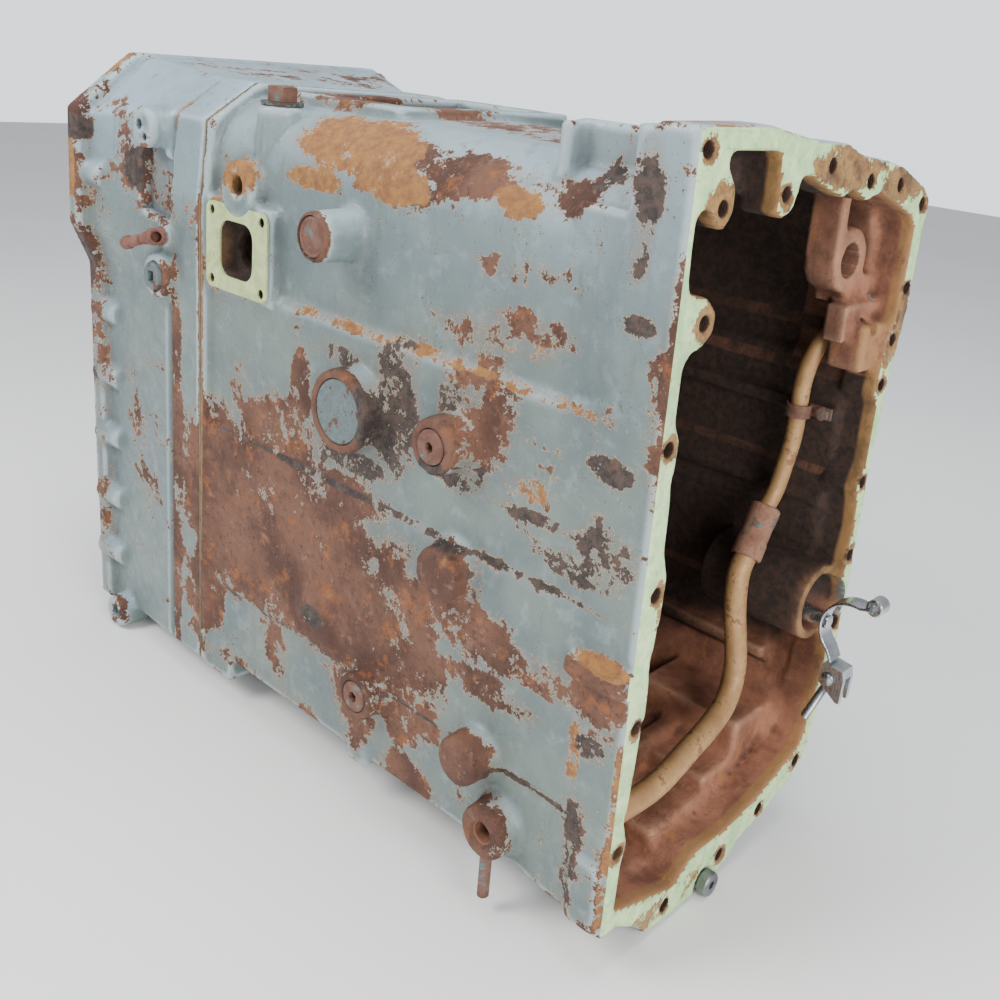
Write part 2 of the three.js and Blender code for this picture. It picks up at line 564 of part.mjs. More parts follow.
function drainTube() {
  const tube = alongZ(DRAIN_TUBE.x, DRAIN_TUBE.y, DRAIN_TUBE.radius, -26, 24, 10);
  return tube.subtract(alongZ(DRAIN_TUBE.x, DRAIN_TUBE.y, 3, -30, 20, 8));
}

function bottomUnion() {
  const stem = alongX(OIL_UNION.y, OIL_UNION.z, OIL_UNION.radius, -24, 6, 12);
  const collar = alongX(OIL_UNION.y, OIL_UNION.z, 11, 0.4, 9, 12);
  return stem.add(collar).subtract(alongX(OIL_UNION.y, OIL_UNION.z, 3.5, -12, 12, 8));
}

function drainPlug() {
  const shank = alongZ(SUMP_PLUG.x, SUMP_PLUG.y, SUMP_PLUG.radius, -31, -8, 12);
  return shank.add(alongZ(SUMP_PLUG.x, SUMP_PLUG.y, 17, -38, -30.5, 6));
}

function sideCap() {
  const disc = alongY(SIDE_CAP.x, SIDE_CAP.z, SIDE_CAP.radius, 345.5, 353.5, 18);
  return disc.subtract(alongY(SIDE_CAP.x, SIDE_CAP.z, SIDE_CAP.radius - 5, 351, 355, 18));
}

function levelPlug() {
  const shank = alongY(LEVEL_BORE.x, LEVEL_BORE.z, LEVEL_BORE.radius, 331, 347, 12);
  return shank.add(alongY(LEVEL_BORE.x, LEVEL_BORE.z, 16, 346.4, 356, 6));
}

// ---------- oil pipe, inside ----------
const SLEEVE_LOW = new THREE.Vector3(-70, 258, 214);
const SLEEVE_HIGH = new THREE.Vector3(-72, 286, 256);
const onSleeve = (share) => SLEEVE_LOW.clone().lerp(SLEEVE_HIGH, share).toArray();
const lowerRoute = [
  [-43, 26, 58], [-42, 60, 58], [-40, 110, 59], [-43, 160, 68], [-47, 198, 74], [-51, 226, 82],
  [-55, 242, 96], [-58, 248, 116], [-62, 248, 140], [-66, 247, 165], onSleeve(-0.3), onSleeve(0.1),
  onSleeve(0.45),
];
const upperRoute = [
  onSleeve(0.55), onSleeve(0.9), [-71, 297, 270], [-68, 301, 296], [-64, 301, 324], [-63, 300, 350],
  [-62, 299, 376], [-58, 299, 398], [-54, 308, 417], [-52, 333, 424],
];

function tubeAlong(points, radius, steps) {
  const route = new THREE.CatmullRomCurve3(points.map((point) => new THREE.Vector3(...point)));
  const section = new THREE.Shape();
  section.absarc(0, 0, radius, 0, 2 * Math.PI);
  const run = new THREE.ExtrudeGeometry(section, { steps, extrudePath: route, curveSegments: 4 });
  return solid(run);
}

function pipeBore() {
  const lower = alongY(-43, 58, PIPE_LOW + 1, 20, 44, 12);
  return lower.add(alongY(-52, 424, PIPE_HIGH + 1.5, 312, 337, 10));
}

function lowerPipe() {
  return tubeAlong(lowerRoute, PIPE_LOW, 24);
}

function upperPipe() {
  return tubeAlong(upperRoute, PIPE_HIGH, 20);
}

function pipeSleeve() {
  const body = rod(onSleeve(0), onSleeve(1), PIPE_LOW + 4, 18);
  const low = rod(onSleeve(-0.1), onSleeve(0.47), PIPE_LOW + 1.2, 18);
  const high = rod(onSleeve(0.4), onSleeve(1.1), PIPE_HIGH + 1.2, 18);
  return cut(body, [low, high]);
}

function pipeNut() {
  const nut = alongY(-43, 58, PIPE_LOW + 8, 40 + CLEAR, 52, 6);
  return nut.subtract(alongY(-43, 58, PIPE_LOW + 1, 30, 60, 12));
}

const CLIP = { x: -63, y: 300, z: 350, bolt: -43, face: 312 };

function pipeClip() {
  const strap = alongZ(CLIP.x, CLIP.y, PIPE_HIGH + 3.5, CLIP.z - 6, CLIP.z + 6, 16);
  const foot = box(CLIP.x, CLIP.bolt + 8, CLIP.face - 3.3, CLIP.face - GAP, CLIP.z - 5.5, CLIP.z + 5.5);
  const hole = alongZ(CLIP.x, CLIP.y, PIPE_HIGH + 1.6, CLIP.z - 9, CLIP.z + 9, 16);
  return cut(strap.add(foot), [hole, alongY(CLIP.bolt, CLIP.z, 4, 300, 318, 8)]);
}

function pipeClipBolt() {
  const shank = alongY(CLIP.bolt, CLIP.z, 3, CLIP.face - 4, CLIP.face + 7, 8);
  return shank.add(alongY(CLIP.bolt, CLIP.z, 6.5, CLIP.face - 8, CLIP.face - 3.6, 6));
}

// ---------- hinged clamp at the right-hand shaft bore ----------
const CLAMP_Y = 285;
const CLAMP_HALF = 10;
const BAND_THICK = 3;
const RING = { x: 33, z: 172, radius: 30 };
const EYE = { x: 50, z: 205, radius: 8 };
const PIVOT = { x: 21, z: 124 };
const BOLT_TIP = { x: 1, z: 71 };
const BOLT_RADIUS = 4;

function ringArc(radius, from, to, steps) {
  return arc(RING.x, RING.z, radius, from, to, steps);
}

function clampBand() {
  const y0 = CLAMP_Y - CLAMP_HALF;
  const y1 = CLAMP_Y + CLAMP_HALF;
  const outerArc = ringArc(RING.radius, 78, 232, 14);
  const innerArc = ringArc(RING.radius - BAND_THICK, 232, 78, 14);
  const band = prismY([[46, 204], ...outerArc, [19, 139], [21.5, 140], ...innerArc, [46, 201]], y0, y1);
  const strip = box(38, 50, CLAMP_Y - 7, CLAMP_Y + 7, 200.6, 203.6);
  const eye = alongY(EYE.x, EYE.z, EYE.radius, CLAMP_Y - 8, CLAMP_Y + 8, 12);
  const eyeHole = alongY(EYE.x, EYE.z, 3.6, CLAMP_Y - 12, CLAMP_Y + 12, 10);
  const postHole = alongX(CLAMP_Y, RING.z, 4 + CLEAR, -2, 12, 10);
  return cut(union([band, strip, eye]), [eyeHole, postHole]);
}

// The channel under the band: a slotted front plate with a cheek on each side.
function clampBracket() {
  const y0 = CLAMP_Y - CLAMP_HALF;
  const y1 = CLAMP_Y + CLAMP_HALF;
  const profile = [[15, 138.4], [34, 136], [36, 128], [35, 104], [31, 104], [12, 118], [12, 132]];
  const block = prismY(profile, y0, y1);
  const room = prismY([[0, 131], [31, 131], [32, 127], [31, 90], [0, 90]], y0 + 2.5, y1 - 2.5);
  const slot = box(20, 50, CLAMP_Y - 5, CLAMP_Y + 5, 90, 128);
  return cut(block, [room, slot, alongY(PIVOT.x, PIVOT.z, 3 + CLEAR, y0 - 2, y1 + 2, 10)]);
}

function clampPin() {
  const y0 = CLAMP_Y - CLAMP_HALF - GAP;
  const y1 = CLAMP_Y + CLAMP_HALF + GAP;
  const headLeft = rod([PIVOT.x, y0, PIVOT.z], [PIVOT.x, y0 - 3.5, PIVOT.z], 6, 10, 3.5);
  const headRight = rod([PIVOT.x, y1, PIVOT.z], [PIVOT.x, y1 + 2.5, PIVOT.z], 5, 10, 3);
  return union([alongY(PIVOT.x, PIVOT.z, 3, y0 - 1, y1 + 1, 10), headLeft, headRight]);
}

function clampBolt() {
  const eye = alongY(PIVOT.x, PIVOT.z, 7, CLAMP_Y - 4.6, CLAMP_Y + 4.6, 12);
  const shank = rod([PIVOT.x, CLAMP_Y, PIVOT.z], [BOLT_TIP.x, CLAMP_Y, BOLT_TIP.z], BOLT_RADIUS, 10);
  return union([eye, shank]).subtract(alongY(PIVOT.x, PIVOT.z, 3 + CLEAR, CLAMP_Y - 6, CLAMP_Y + 6, 10));
}

// A steel post from the shaft bore carries the band.
function clampPost() {
  return union([
    alongX(SIDE_SHAFT.y, SIDE_SHAFT.z, SIDE_SHAFT.radius - GAP, -70, -52, 18),
    alongX(CLAMP_Y, RING.z, 7, -53, RING.x - RING.radius - GAP, 12),
    alongX(CLAMP_Y, RING.z, 4, -50, 8, 10),
    alongX(CLAMP_Y, RING.z, 6.5, 7.4, 9.8, 10),
  ]);
}

// ---------- the assembly ----------
const pieces = [
  ["main_case", mainCase, PAINT],
  ["front_housing", frontHousing, PAINT],
  ["joint_gasket", jointGasket, MINT],
  ["port_gasket", portGasket, MINT],
  ...jointBolts.map((place, i) => [`joint_bolt_${i + 1}`, () => jointBolt(place), DARK]),
  ...dowels.map((place, i) => [`joint_dowel_${i + 1}`, () => jointDowel(place), STEEL]),
  ["upper_bore_plug", () => cupPlug(UPPER_BORE, -28.5, 4), RUST],
  ["core_plug", () => cupPlug(CORE_BORE, -17, 4.6), PAINT],
  ["detent_plug", () => socketPlug(DETENT_BORE, -26, 17, 4.5, 6), RUST],
  ["lower_screw_plug", () => socketPlug(LOWER_BORE, -19, 12, 5, 6), RUST],
  ["square_socket_plug", () => socketPlug(SOCKET_BORE, -16, 17, 7.5, 4), PAINT],
  ["top_hex_plug", hexPlug, RUST],
  ["top_plug_washer", hexPlugWasher, DARK],
  ["hose_elbow", hoseElbow, COPPER],
  ["drain_tube", drainTube, RUST],
  ["bottom_union", bottomUnion, STEEL],
  ["drain_plug", drainPlug, RUST],
  ["side_cap", sideCap, PAINT],
  ["level_plug", levelPlug, RUST],
  ["lower_oil_pipe", lowerPipe, OCHRE],
  ["upper_oil_pipe", upperPipe, OCHRE],
  ["pipe_sleeve", pipeSleeve, COPPER],
  ["pipe_nut", pipeNut, OCHRE],
  ["pipe_clip", pipeClip, RUST],
  ["pipe_clip_bolt", pipeClipBolt, RUST],
  ["clamp_post", clampPost, STEEL],
  ["clamp_band", clampBand, STEEL],
  ["clamp_bracket", clampBracket, STEEL],
  ["clamp_pin", clampPin, STEEL],
  ["clamp_swing_bolt", clampBolt, STEEL],
];

const gearboxCase = new THREE.Group();
const wholeBox = new THREE.Box3();
for (const [name, make, finish] of pieces) {
  const mesh = new THREE.Mesh(geometryOf(make()), new THREE.MeshStandardMaterial(finish));
  mesh.name = name;
  mesh.geometry.computeBoundingBox();
  wholeBox.union(mesh.geometry.boundingBox);
  gearboxCase.add(mesh);
}

// Origin under the middle of the assembly's box.
const middle = wholeBox.getCenter(new THREE.Vector3());
for (const mesh of gearboxCase.children) {
  mesh.geometry.translate(-middle.x, -middle.y, -wholeBox.min.z);
  mesh.geometry.computeVertexNormals();
}

export default gearboxCase;
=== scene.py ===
"""A worn cast-iron transmission case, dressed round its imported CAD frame.

Positions are written in millimetres from the case's own corner: x runs forward-to-back along the shafts
(0 at the rear flange face, negative towards the bell), y across from the left wall, z up.
"""

import math

import bmesh
import bpy
import numpy as np
from mathutils import Matrix, Vector


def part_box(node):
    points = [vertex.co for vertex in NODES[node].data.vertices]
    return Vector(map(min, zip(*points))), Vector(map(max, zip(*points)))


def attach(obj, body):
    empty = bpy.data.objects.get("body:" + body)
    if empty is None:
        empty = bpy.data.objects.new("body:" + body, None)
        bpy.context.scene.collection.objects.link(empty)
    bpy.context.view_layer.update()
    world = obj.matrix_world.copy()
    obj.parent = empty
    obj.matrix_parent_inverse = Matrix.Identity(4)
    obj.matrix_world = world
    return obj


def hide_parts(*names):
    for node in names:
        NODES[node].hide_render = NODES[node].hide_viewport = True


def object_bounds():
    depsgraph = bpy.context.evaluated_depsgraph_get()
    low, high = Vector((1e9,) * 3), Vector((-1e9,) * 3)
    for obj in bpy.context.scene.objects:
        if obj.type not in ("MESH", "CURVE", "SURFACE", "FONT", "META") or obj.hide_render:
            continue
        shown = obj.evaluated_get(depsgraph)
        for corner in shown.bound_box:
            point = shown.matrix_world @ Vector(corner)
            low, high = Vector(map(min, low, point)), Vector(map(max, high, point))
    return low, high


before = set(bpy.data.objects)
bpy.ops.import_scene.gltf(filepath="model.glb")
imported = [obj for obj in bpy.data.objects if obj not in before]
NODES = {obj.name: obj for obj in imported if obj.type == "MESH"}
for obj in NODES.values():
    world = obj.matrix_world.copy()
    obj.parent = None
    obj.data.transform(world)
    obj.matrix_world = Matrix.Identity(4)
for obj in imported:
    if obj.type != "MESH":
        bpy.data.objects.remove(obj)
CAD_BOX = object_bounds()

MM = 0.001
CASE_LOW, CASE_HIGH = (Vector(corner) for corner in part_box("main_case"))
ORIGIN = Vector((CASE_HIGH.x, CASE_LOW.y + 30 * MM, CASE_HIGH.z - 602 * MM))


FORWARD, BACKWARD = (-1, 0, 0), (1, 0, 0)
LEFT, RIGHT = (0, -1, 0), (0, 1, 0)
DOWN, UP = (0, 0, -1), (0, 0, 1)


def at(x, y, z):
    return ORIGIN + Vector((x, y, z)) * MM


# ---------- camera ----------
CAMERA_PLACE = (382.57, -565.56, 631.96)
CAMERA_RIGHT = Vector((0.7518, 0.6523, 0.0962))
CAMERA_UP = Vector((-0.2596, 0.1588, 0.9526))
SENSOR = 36
LENS = 1.10635 * SENSOR


def add_camera():
    camera = bpy.data.cameras.new("camera")
    camera.sensor_width = SENSOR
    camera.sensor_fit = "HORIZONTAL"
    camera.lens = LENS
    camera.shift_x = -0.07277
    camera.shift_y = -0.10805
    right = CAMERA_RIGHT.normalized()
    back = right.cross(CAMERA_UP.normalized()).normalized()
    up = back.cross(right)
    holder = bpy.data.objects.new("camera", camera)
    bpy.context.collection.objects.link(holder)
    turn = Matrix((right, up, back)).transposed().to_4x4()
    holder.matrix_world = Matrix.Translation(at(*CAMERA_PLACE)) @ turn
    bpy.context.scene.camera = holder


# ---------- material graphs ----------
def srgb(code):
    """A colour written as six hex digits, as linear values."""
    values = [int(code[i : i + 2], 16) / 255 for i in (0, 2, 4)]
    return [v / 12.92 if v <= 0.04045 else ((v + 0.055) / 1.055) ** 2.4 for v in values] + [1]


class Graph:
    """One material, short names for its nodes, and the seed that its noises start from."""

    def __init__(self, name, seed=0):
        self.seed = seed
        self.material = bpy.data.materials.new(name)
        self.material.use_nodes = True
        self.tree = self.material.node_tree
        self.shader = self.tree.nodes["Principled BSDF"]
        self.coords = self.tree.nodes.new("ShaderNodeTexCoord").outputs["Object"]

    def fill(self, node, inputs):
        for socket, value in inputs.items():
            if isinstance(value, bpy.types.NodeSocket):
                self.tree.links.new(value, node.inputs[socket])
            else:
                node.inputs[socket].default_value = value

    def new(self, kind, inputs, output=0, **settings):
        """Adds a node with its settings and inputs, and gives back one of its outputs."""
        node = self.tree.nodes.new("ShaderNode" + kind)
        for setting, value in settings.items():
            setattr(node, setting, value)
        self.fill(node, inputs)
        return node.outputs[output]

    def attribute(self, name):
        return self.new("Attribute", {}, "Fac", attribute_name=name)

    def noise(self, size, detail=4, rough=0.55, seed=None, stretch=(1, 1, 1), distortion=0):
        """Noise whose blobs are about `size` millimetres across; without a seed it isn't moved."""
        moved = 0 if seed is None else self.seed + seed
        offset = (moved * 1.7, moved * 0.9, moved * 2.3)
        place = self.new("Mapping", {"Vector": self.coords, "Scale": stretch, "Location": offset})
        inputs = {"Vector": place, "Scale": 1 / (size * MM), "Detail": detail, "Roughness": rough}
        return self.new("TexNoise", inputs | {"Distortion": distortion}, "Fac")

    def math(self, operation, a, b=0, clamp=False):
        return self.new("Math", {0: a, 1: b}, operation=operation, use_clamp=clamp)

    def add(self, *values):
        total = values[0]
        for value in values[1:]:
            total = self.math("ADD", total, value)
        return total

    def times(self, a, b):
        return self.math("MULTIPLY", a, b)

    def swing(self, value, amount):
        """Noise from 0 to 1 turned into plus or minus half of `amount`."""
        return self.times(self.math("SUBTRACT", value, 0.5), amount)

    def step(self, value, low, high, start=0, end=1):
        inputs = {"Value": value, "From Min": low, "From Max": high, "To Min": start, "To Max": end}
        return self.new("MapRange", inputs, interpolation_type="SMOOTHSTEP")

    def mix(self, factor, a, b):
        """Two colours mixed; a colour may be written as six hex digits."""
        a, b = (srgb(colour) if isinstance(colour, str) else colour for colour in (a, b))
        return self.new("Mix", {"Factor": factor, 6: a, 7: b}, 2, data_type="RGBA")

    def tint(self, under, colour, amount, low, high, most=1):
        """A second colour over the first where `amount` is past `low`, and full at `high`."""
        return self.mix(self.step(amount, low, high, 0, most), under, colour)

    def blend(self, factor, a, b):
        return self.new("Mix", {"Factor": factor, 2: a, 3: b}, data_type="FLOAT")

    def bump(self, height, distance, under=None, strength=1):
        inputs = {"Distance": distance * MM, "Strength": strength, "Height": height}
        if under:
            inputs["Normal"] = under
        return self.new("Bump", inputs)

    def finish(self, colour, roughness, normal, metallic=0):
        inputs = {"Base Color": colour, "Roughness": roughness, "Metallic": metallic, "Normal": normal}
        self.fill(self.shader, inputs)
        return self.material


def rust_colour(g):
    """Old brown rust with redder and more orange clouds and dark pits."""
    cloud = g.noise(70, 6, 0.62, 3)
    grain = g.noise(6, 6, 0.72, 4)
    brown = g.tint("4f3329", "74503f", cloud, 0.38, 0.62)
    orange = g.tint(brown, "965b31", g.noise(24, 7, 0.72, 5), 0.53, 0.68, 0.85)
    dusty = g.tint(orange, "9c7a69", g.noise(11, 6, 0.7, 6), 0.55, 0.72, 0.5)
    return g.tint(dusty, "38241e", grain, 0.5, 0.3, 0.7)


def iron_material(name, paint, paint_top_lit, seed):
    """Painted cast iron, inside and out: the vertex masks say where each coat has gone, and where painted
    light and shade fall.
    """
    g = Graph(name, seed)
    masks = "rust ochre dark edge cavity inner mint bare pale dusty".split()
    rust, ochre, dark, edge, cavity, inner, mint, bare, pale, dusty = (g.attribute(mask) for mask in masks)
    broad = g.noise(120, 3, 0.5, 0)
    patch = g.noise(38, 9, 0.66, 1, distortion=0.3)
    fleck = g.noise(8, 7, 0.72, 2)
    mote = g.noise(2.8, 5, 0.7, 19)
    grit = g.noise(1.6, 3, 0.6)
    ragged = g.add(g.swing(patch, 1.7), g.swing(fleck, 1.05), g.swing(mote, 0.5))

    # where the paint has come off, down to rust, primer or dark oxide
    loss = g.math("MAXIMUM", g.math("MAXIMUM", rust, ochre), dark)
    wear = g.add(g.times(loss, 0.6), g.times(edge, 0.24), g.swing(broad, 0.6), 0.185, ragged)
    gone = g.step(wear, 0.49, 0.505)
    rim = g.math("SUBTRACT", g.step(wear, 0.45, 0.47), gone, clamp=True)
    primer = g.step(g.add(ochre, g.swing(patch, 1.6), g.swing(fleck, 0.8)), 0.4, 0.5)
    black = g.step(g.add(dark, g.swing(patch, 1.5), g.swing(fleck, 1)), 0.44, 0.5)

    old_rust = rust_colour(g)
    yellow = g.tint("a57640", "8b5f3d", fleck, 0.4, 0.62)
    yellow = g.tint(yellow, "7d5138", g.noise(15, 6, 0.7, 20), 0.5, 0.68, 0.8)
    under = g.mix(primer, old_rust, yellow)
    soot = g.tint("2b2321", "51413a", fleck, 0.4, 0.62)
    soot = g.tint(soot, "6d4c3d", g.noise(17, 6, 0.7, 21), 0.56, 0.7, 0.7)
    under = g.mix(black, under, soot)

    # the coat of paint: clouded; paler on top and high up, which is painted top light with some chalking;
    # darker in hollows, which is painted shade; lighter along edges, where the paint is rubbed and where a
    # painted highlight runs
    coat = g.tint(paint, "6f7d78", g.noise(85, 5, 0.6, 7), 0.36, 0.66)
    coat = g.tint(coat, "8d9c9f", g.noise(16, 6, 0.66, 8), 0.5, 0.72, 0.45)
    # painted top light: mixed towards the lit paint colour on upward faces and high up, with a little
    # chalking varied by the broad noise
    coat = g.mix(g.times(pale, g.step(broad, 0.2, 0.75, 0.5, 1)), coat, paint_top_lit)
    runs = g.noise(20, 6, 0.65, 9, stretch=(1, 1, 0.2))
    coat = g.tint(coat, "59605c", runs, 0.53, 0.74, 0.5)
    # lighter along convex edges: rubbed paint, and a painted highlight along them
    coat = g.tint(coat, "aebdc3", edge, 0.1, 0.5, 0.65)
    # painted shade: the paint is darkened in hollows and creases
    coat = g.mix(g.times(cavity, 0.7), coat, "41423e")
    stain = g.times(g.step(g.add(loss, g.swing(patch, 1.6)), 0.05, 0.75), 0.42)
    coat = g.mix(stain, coat, "7d6a58")
    coat = g.mix(g.times(rim, 0.75), coat, "b3a48c")
    specks = g.step(g.add(g.noise(3, 5, 0.75, 10), g.swing(patch, 0.35)), 0.64, 0.66, 0, 0.85)
    coat = g.mix(specks, coat, "453e3a")
    outside = g.mix(gone, coat, under)

    # the unpainted room inside: dry light rust low down, oil-dark higher up; painted light and shade over
    # it: lighter low down, on upward faces and near the open rear end, darker deep inside and in hollows,
    # and a painted highlight on edges
    inside_colour = g.tint("784e3d", "ae775d", g.noise(50, 6, 0.65, 11), 0.36, 0.66)
    inside_colour = g.tint(inside_colour, "ae7444", g.noise(24, 7, 0.72, 12), 0.54, 0.7, 0.9)
    # painted highlight: lighter on convex edges inside
    inside_colour = g.mix(g.times(edge, 0.6), inside_colour, "c29a7c")
    # the dark end: oil, and painted shade higher up and deep inside
    oil_and_shade = g.tint("241c18", "432f25", fleck, 0.35, 0.65)
    inside_colour = g.tint(oil_and_shade, inside_colour, g.add(dusty, g.swing(patch, 0.7)), 0.15, 0.75)
    # painted shade: darker in hollows inside
    inside_colour = g.tint(inside_colour, "241915", g.add(cavity, g.swing(patch, 0.8)), 0.3, 0.8, 0.6)
    inside_colour = g.mix(g.times(ochre, g.step(patch, 0.35, 0.6, 0.35, 0.9)), inside_colour, "a8804f")
    surface = g.mix(inner, outside, inside_colour)

    # gasket residue on the rear flange face, scraped to metal round the holes
    residue = g.tint("a9d49a", "d3eab0", g.noise(13, 6, 0.65, 13), 0.34, 0.68)
    residue = g.tint(residue, "7f8a4c", g.noise(5, 5, 0.7, 14), 0.56, 0.7, 0.7)
    scraped = g.step(g.add(bare, g.swing(patch, 1.5), g.swing(fleck, 1), g.swing(mote, 0.5)), 0.5, 0.53)
    metal = g.tint("7a5733", "a07c48", fleck, 0.36, 0.62)
    metal = g.tint(metal, "54392b", g.noise(20, 6, 0.66, 15), 0.48, 0.64, 0.8)
    seat = g.mix(scraped, residue, metal)
    colour = g.tint(surface, seat, mint, 0.45, 0.6)

    flaked = g.math("MAXIMUM", gone, inner)
    rough = g.blend(flaked, g.step(g.noise(12, 5, 0.6, 16), 0.3, 0.7, 0.27, 0.5), 0.84)
    rough = g.blend(g.times(black, 0.6), rough, 0.5)
    rough = g.blend(g.step(mint, 0.45, 0.6), rough, g.blend(scraped, 0.6, 0.4))
    sand = g.bump(grit, 0.35, strength=0.7)
    skin = g.bump(g.noise(4.5, 4, 0.6, 17), 1, sand, strength=0.7)
    pits = g.bump(g.times(flaked, g.noise(6, 7, 0.78, 18)), 2, skin, strength=0.9)
    layer = g.bump(g.math("SUBTRACT", 1, gone), 0.6, pits)
    return g.finish(colour, rough, layer)


def rusty_material(name, tone="66463b", light="826153", keep="67777b", kept=0.38, seed=20):
    """A rusty fastener or plug that still holds some paint."""
    g = Graph(name, seed)
    patch = g.noise(14, 7, 0.65, 0)
    fleck = g.noise(4, 6, 0.7, 1)
    body = g.tint(tone, light, patch, 0.36, 0.64)
    body = g.tint(body, "94684c", fleck, 0.56, 0.7, 0.7)
    body = g.tint(body, "4d352d", fleck, 0.44, 0.3, 0.7)
    coat = g.step(g.add(g.swing(patch, 1.4), g.swing(fleck, 0.6), kept), 0.48, 0.52)
    colour = g.mix(coat, body, g.tint(keep, "5d6968", fleck, 0.4, 0.6))
    rough = g.blend(coat, 0.85, 0.5)
    sand = g.bump(g.noise(1.2, 4, 0.65), 0.3, strength=0.8)
    pits = g.bump(g.math("SUBTRACT", g.noise(3.2, 6, 0.7, 2), g.times(coat, 0.3)), 0.7, sand)
    return g.finish(colour, rough, pits, 0.15)


def steel_material(name, tone, dark, roughness, seed=40, stained=0.35):
    """Bright or dull steel with fine scratches and a little brown bloom."""
    g = Graph(name, seed)
    cloud = g.noise(22, 5, 0.6, 0)
    scratch = g.noise(1.4, 4, 0.7, 1, stretch=(1, 1, 0.12))
    colour = g.tint(tone, dark, cloud, 0.35, 0.7)
    colour = g.tint(colour, "7c6a58", g.noise(8, 6, 0.7, 2), 0.55, 0.72, stained)
    rough = g.step(g.add(g.swing(scratch, 1), cloud), 0.3, 0.75, roughness, roughness + 0.2)
    normal = g.bump(scratch, 0.08, g.bump(g.noise(3, 5, 0.6, 3), 0.12), strength=0.7)
    return g.finish(colour, rough, normal, 0.92)


def pipe_material(name):
    """Yellow-brown plated pipe, rubbed and rusting in patches."""
    g = Graph(name)
    cloud = g.noise(30, 6, 0.62, 51)
    fleck = g.noise(5, 6, 0.7, 52)
    colour = g.tint("a37c53", "bd9868", cloud, 0.34, 0.66)
    colour = g.tint(colour, "80583f", g.add(g.swing(cloud, 1.2), g.swing(fleck, 0.9)), 0.1, 0.16, 0.8)
    colour = g.tint(colour, "5a4130", g.noise(2.2, 4, 0.7, 53), 0.62, 0.68, 0.6)
    rough = g.step(fleck, 0.3, 0.7, 0.38, 0.68)
    normal = g.bump(fleck, 0.25, g.bump(g.noise(1.3, 4, 0.6, 54), 0.15))
    return g.finish(colour, rough, normal, 0.25)


def gasket_material(name, light="c4d49a", dull="a3b279"):
    """Pale green gasket board with oil marks."""
    g = Graph(name)
    cloud = g.noise(18, 6, 0.65, 61)
    fibre = g.noise(2.4, 5, 0.75, 62)
    colour = g.tint(light, dull, cloud, 0.34, 0.68)
    colour = g.tint(colour, "8f7f52", g.noise(8, 6, 0.7, 63), 0.57, 0.7, 0.7)
    colour = g.tint(colour, "e2e8c8", fibre, 0.62, 0.75, 0.4)
    return g.finish(colour, g.step(cloud, 0.3, 0.7, 0.55, 0.8), g.bump(fibre, 0.18))


def floor_material():
    g = Graph("pale_floor")
    cloud = g.noise(700, 3, 0.5, 71)
    colour = g.tint("fafafa", "fdfdfd", cloud, 0.3, 0.7)
    return g.finish(colour, g.step(cloud, 0.3, 0.7, 0.62, 0.7), g.bump(g.noise(3, 3), 0.03))


# ---------- solids, in millimetres ----------
def turned(rings, base, axis, sides=48, twist=0):
    """A solid of revolution from rings of (radius, height); each may be a list round the axis."""
    turn = Vector(axis).to_track_quat("Z", "Y").to_matrix()
    angles = np.arange(sides) * 2 * math.pi / sides + twist
    points, starts = [], []
    for radius, height in rings:
        starts.append(len(points))
        if np.isscalar(radius) and radius == 0:
            points.append((0, 0, height))
            continue
        radii = np.broadcast_to(radius, sides)
        heights = np.broadcast_to(height, sides)
        points += [(r * math.cos(a), r * math.sin(a), h) for r, a, h in zip(radii, angles, heights)]
    starts.append(len(points))
    faces = []
    for i in range(len(rings) - 1):
        a, b = starts[i], starts[i + 1]
        one_a, one_b = b - a == 1, starts[i + 2] - b == 1
        for j in range(sides):
            k = (j + 1) % sides
            if one_a:
                faces.append((a, b + j, b + k))
            elif one_b:
                faces.append((a + k, a + j, b))
            else:
                faces.append((a + j, b + j, b + k, a + k))
    placed = [Vector(base) + turn @ Vector(p) for p in points]
    return placed, faces


def rod(radius, low, high, base, axis, sides=48):
    """A plain cylinder from `low` to `high` along its axis."""
    return turned([(0, low), (radius, low), (radius, high), (0, high)], base, axis, sides)


def slab(x0, x1, y0, y1, z0, z1, cell=None):
    """A box whose faces are divided into cells, so that they can carry vertex masks."""
    size = (x1 - x0, y1 - y0, z1 - z0)
    counts = [max(1, round(s / cell)) if cell and s > cell else 1 for s in size]
    bm = bmesh.new()
    low = Vector((x0, y0, z0))
    for axis in range(3):
        u, v = [i for i in range(3) if i != axis]
        for end in (0, 1):
            grid = {}
            for i, j in np.ndindex(counts[u] + 1, counts[v] + 1):
                p = low.copy()
                p[axis] += size[axis] * end
                p[u] += size[u] * i / counts[u]
                p[v] += size[v] * j / counts[v]
                grid[i, j] = bm.verts.new(p)
            for i, j in np.ndindex(counts[u], counts[v]):
                bm.faces.new([grid[i, j], grid[i + 1, j], grid[i + 1, j + 1], grid[i, j + 1]])
    bmesh.ops.remove_doubles(bm, verts=bm.verts, dist=0.001)
    points = [v.co.copy() for v in bm.verts]
    faces = [tuple(v.index for v in f.verts) for f in bm.faces]
    bm.free()
    return points, faces


def prism(outline, low, high):
    """An outline in x and z, pushed along y from low to high."""
    points = [Vector((x, y, z)) for y in (low, high) for x, z in outline]
    count = len(outline)
    faces = [tuple(range(count)), tuple(range(count, 2 * count))]
    faces += [(i, (i + 1) % count, count + (i + 1) % count, count + i) for i in range(count)]
    return points, faces


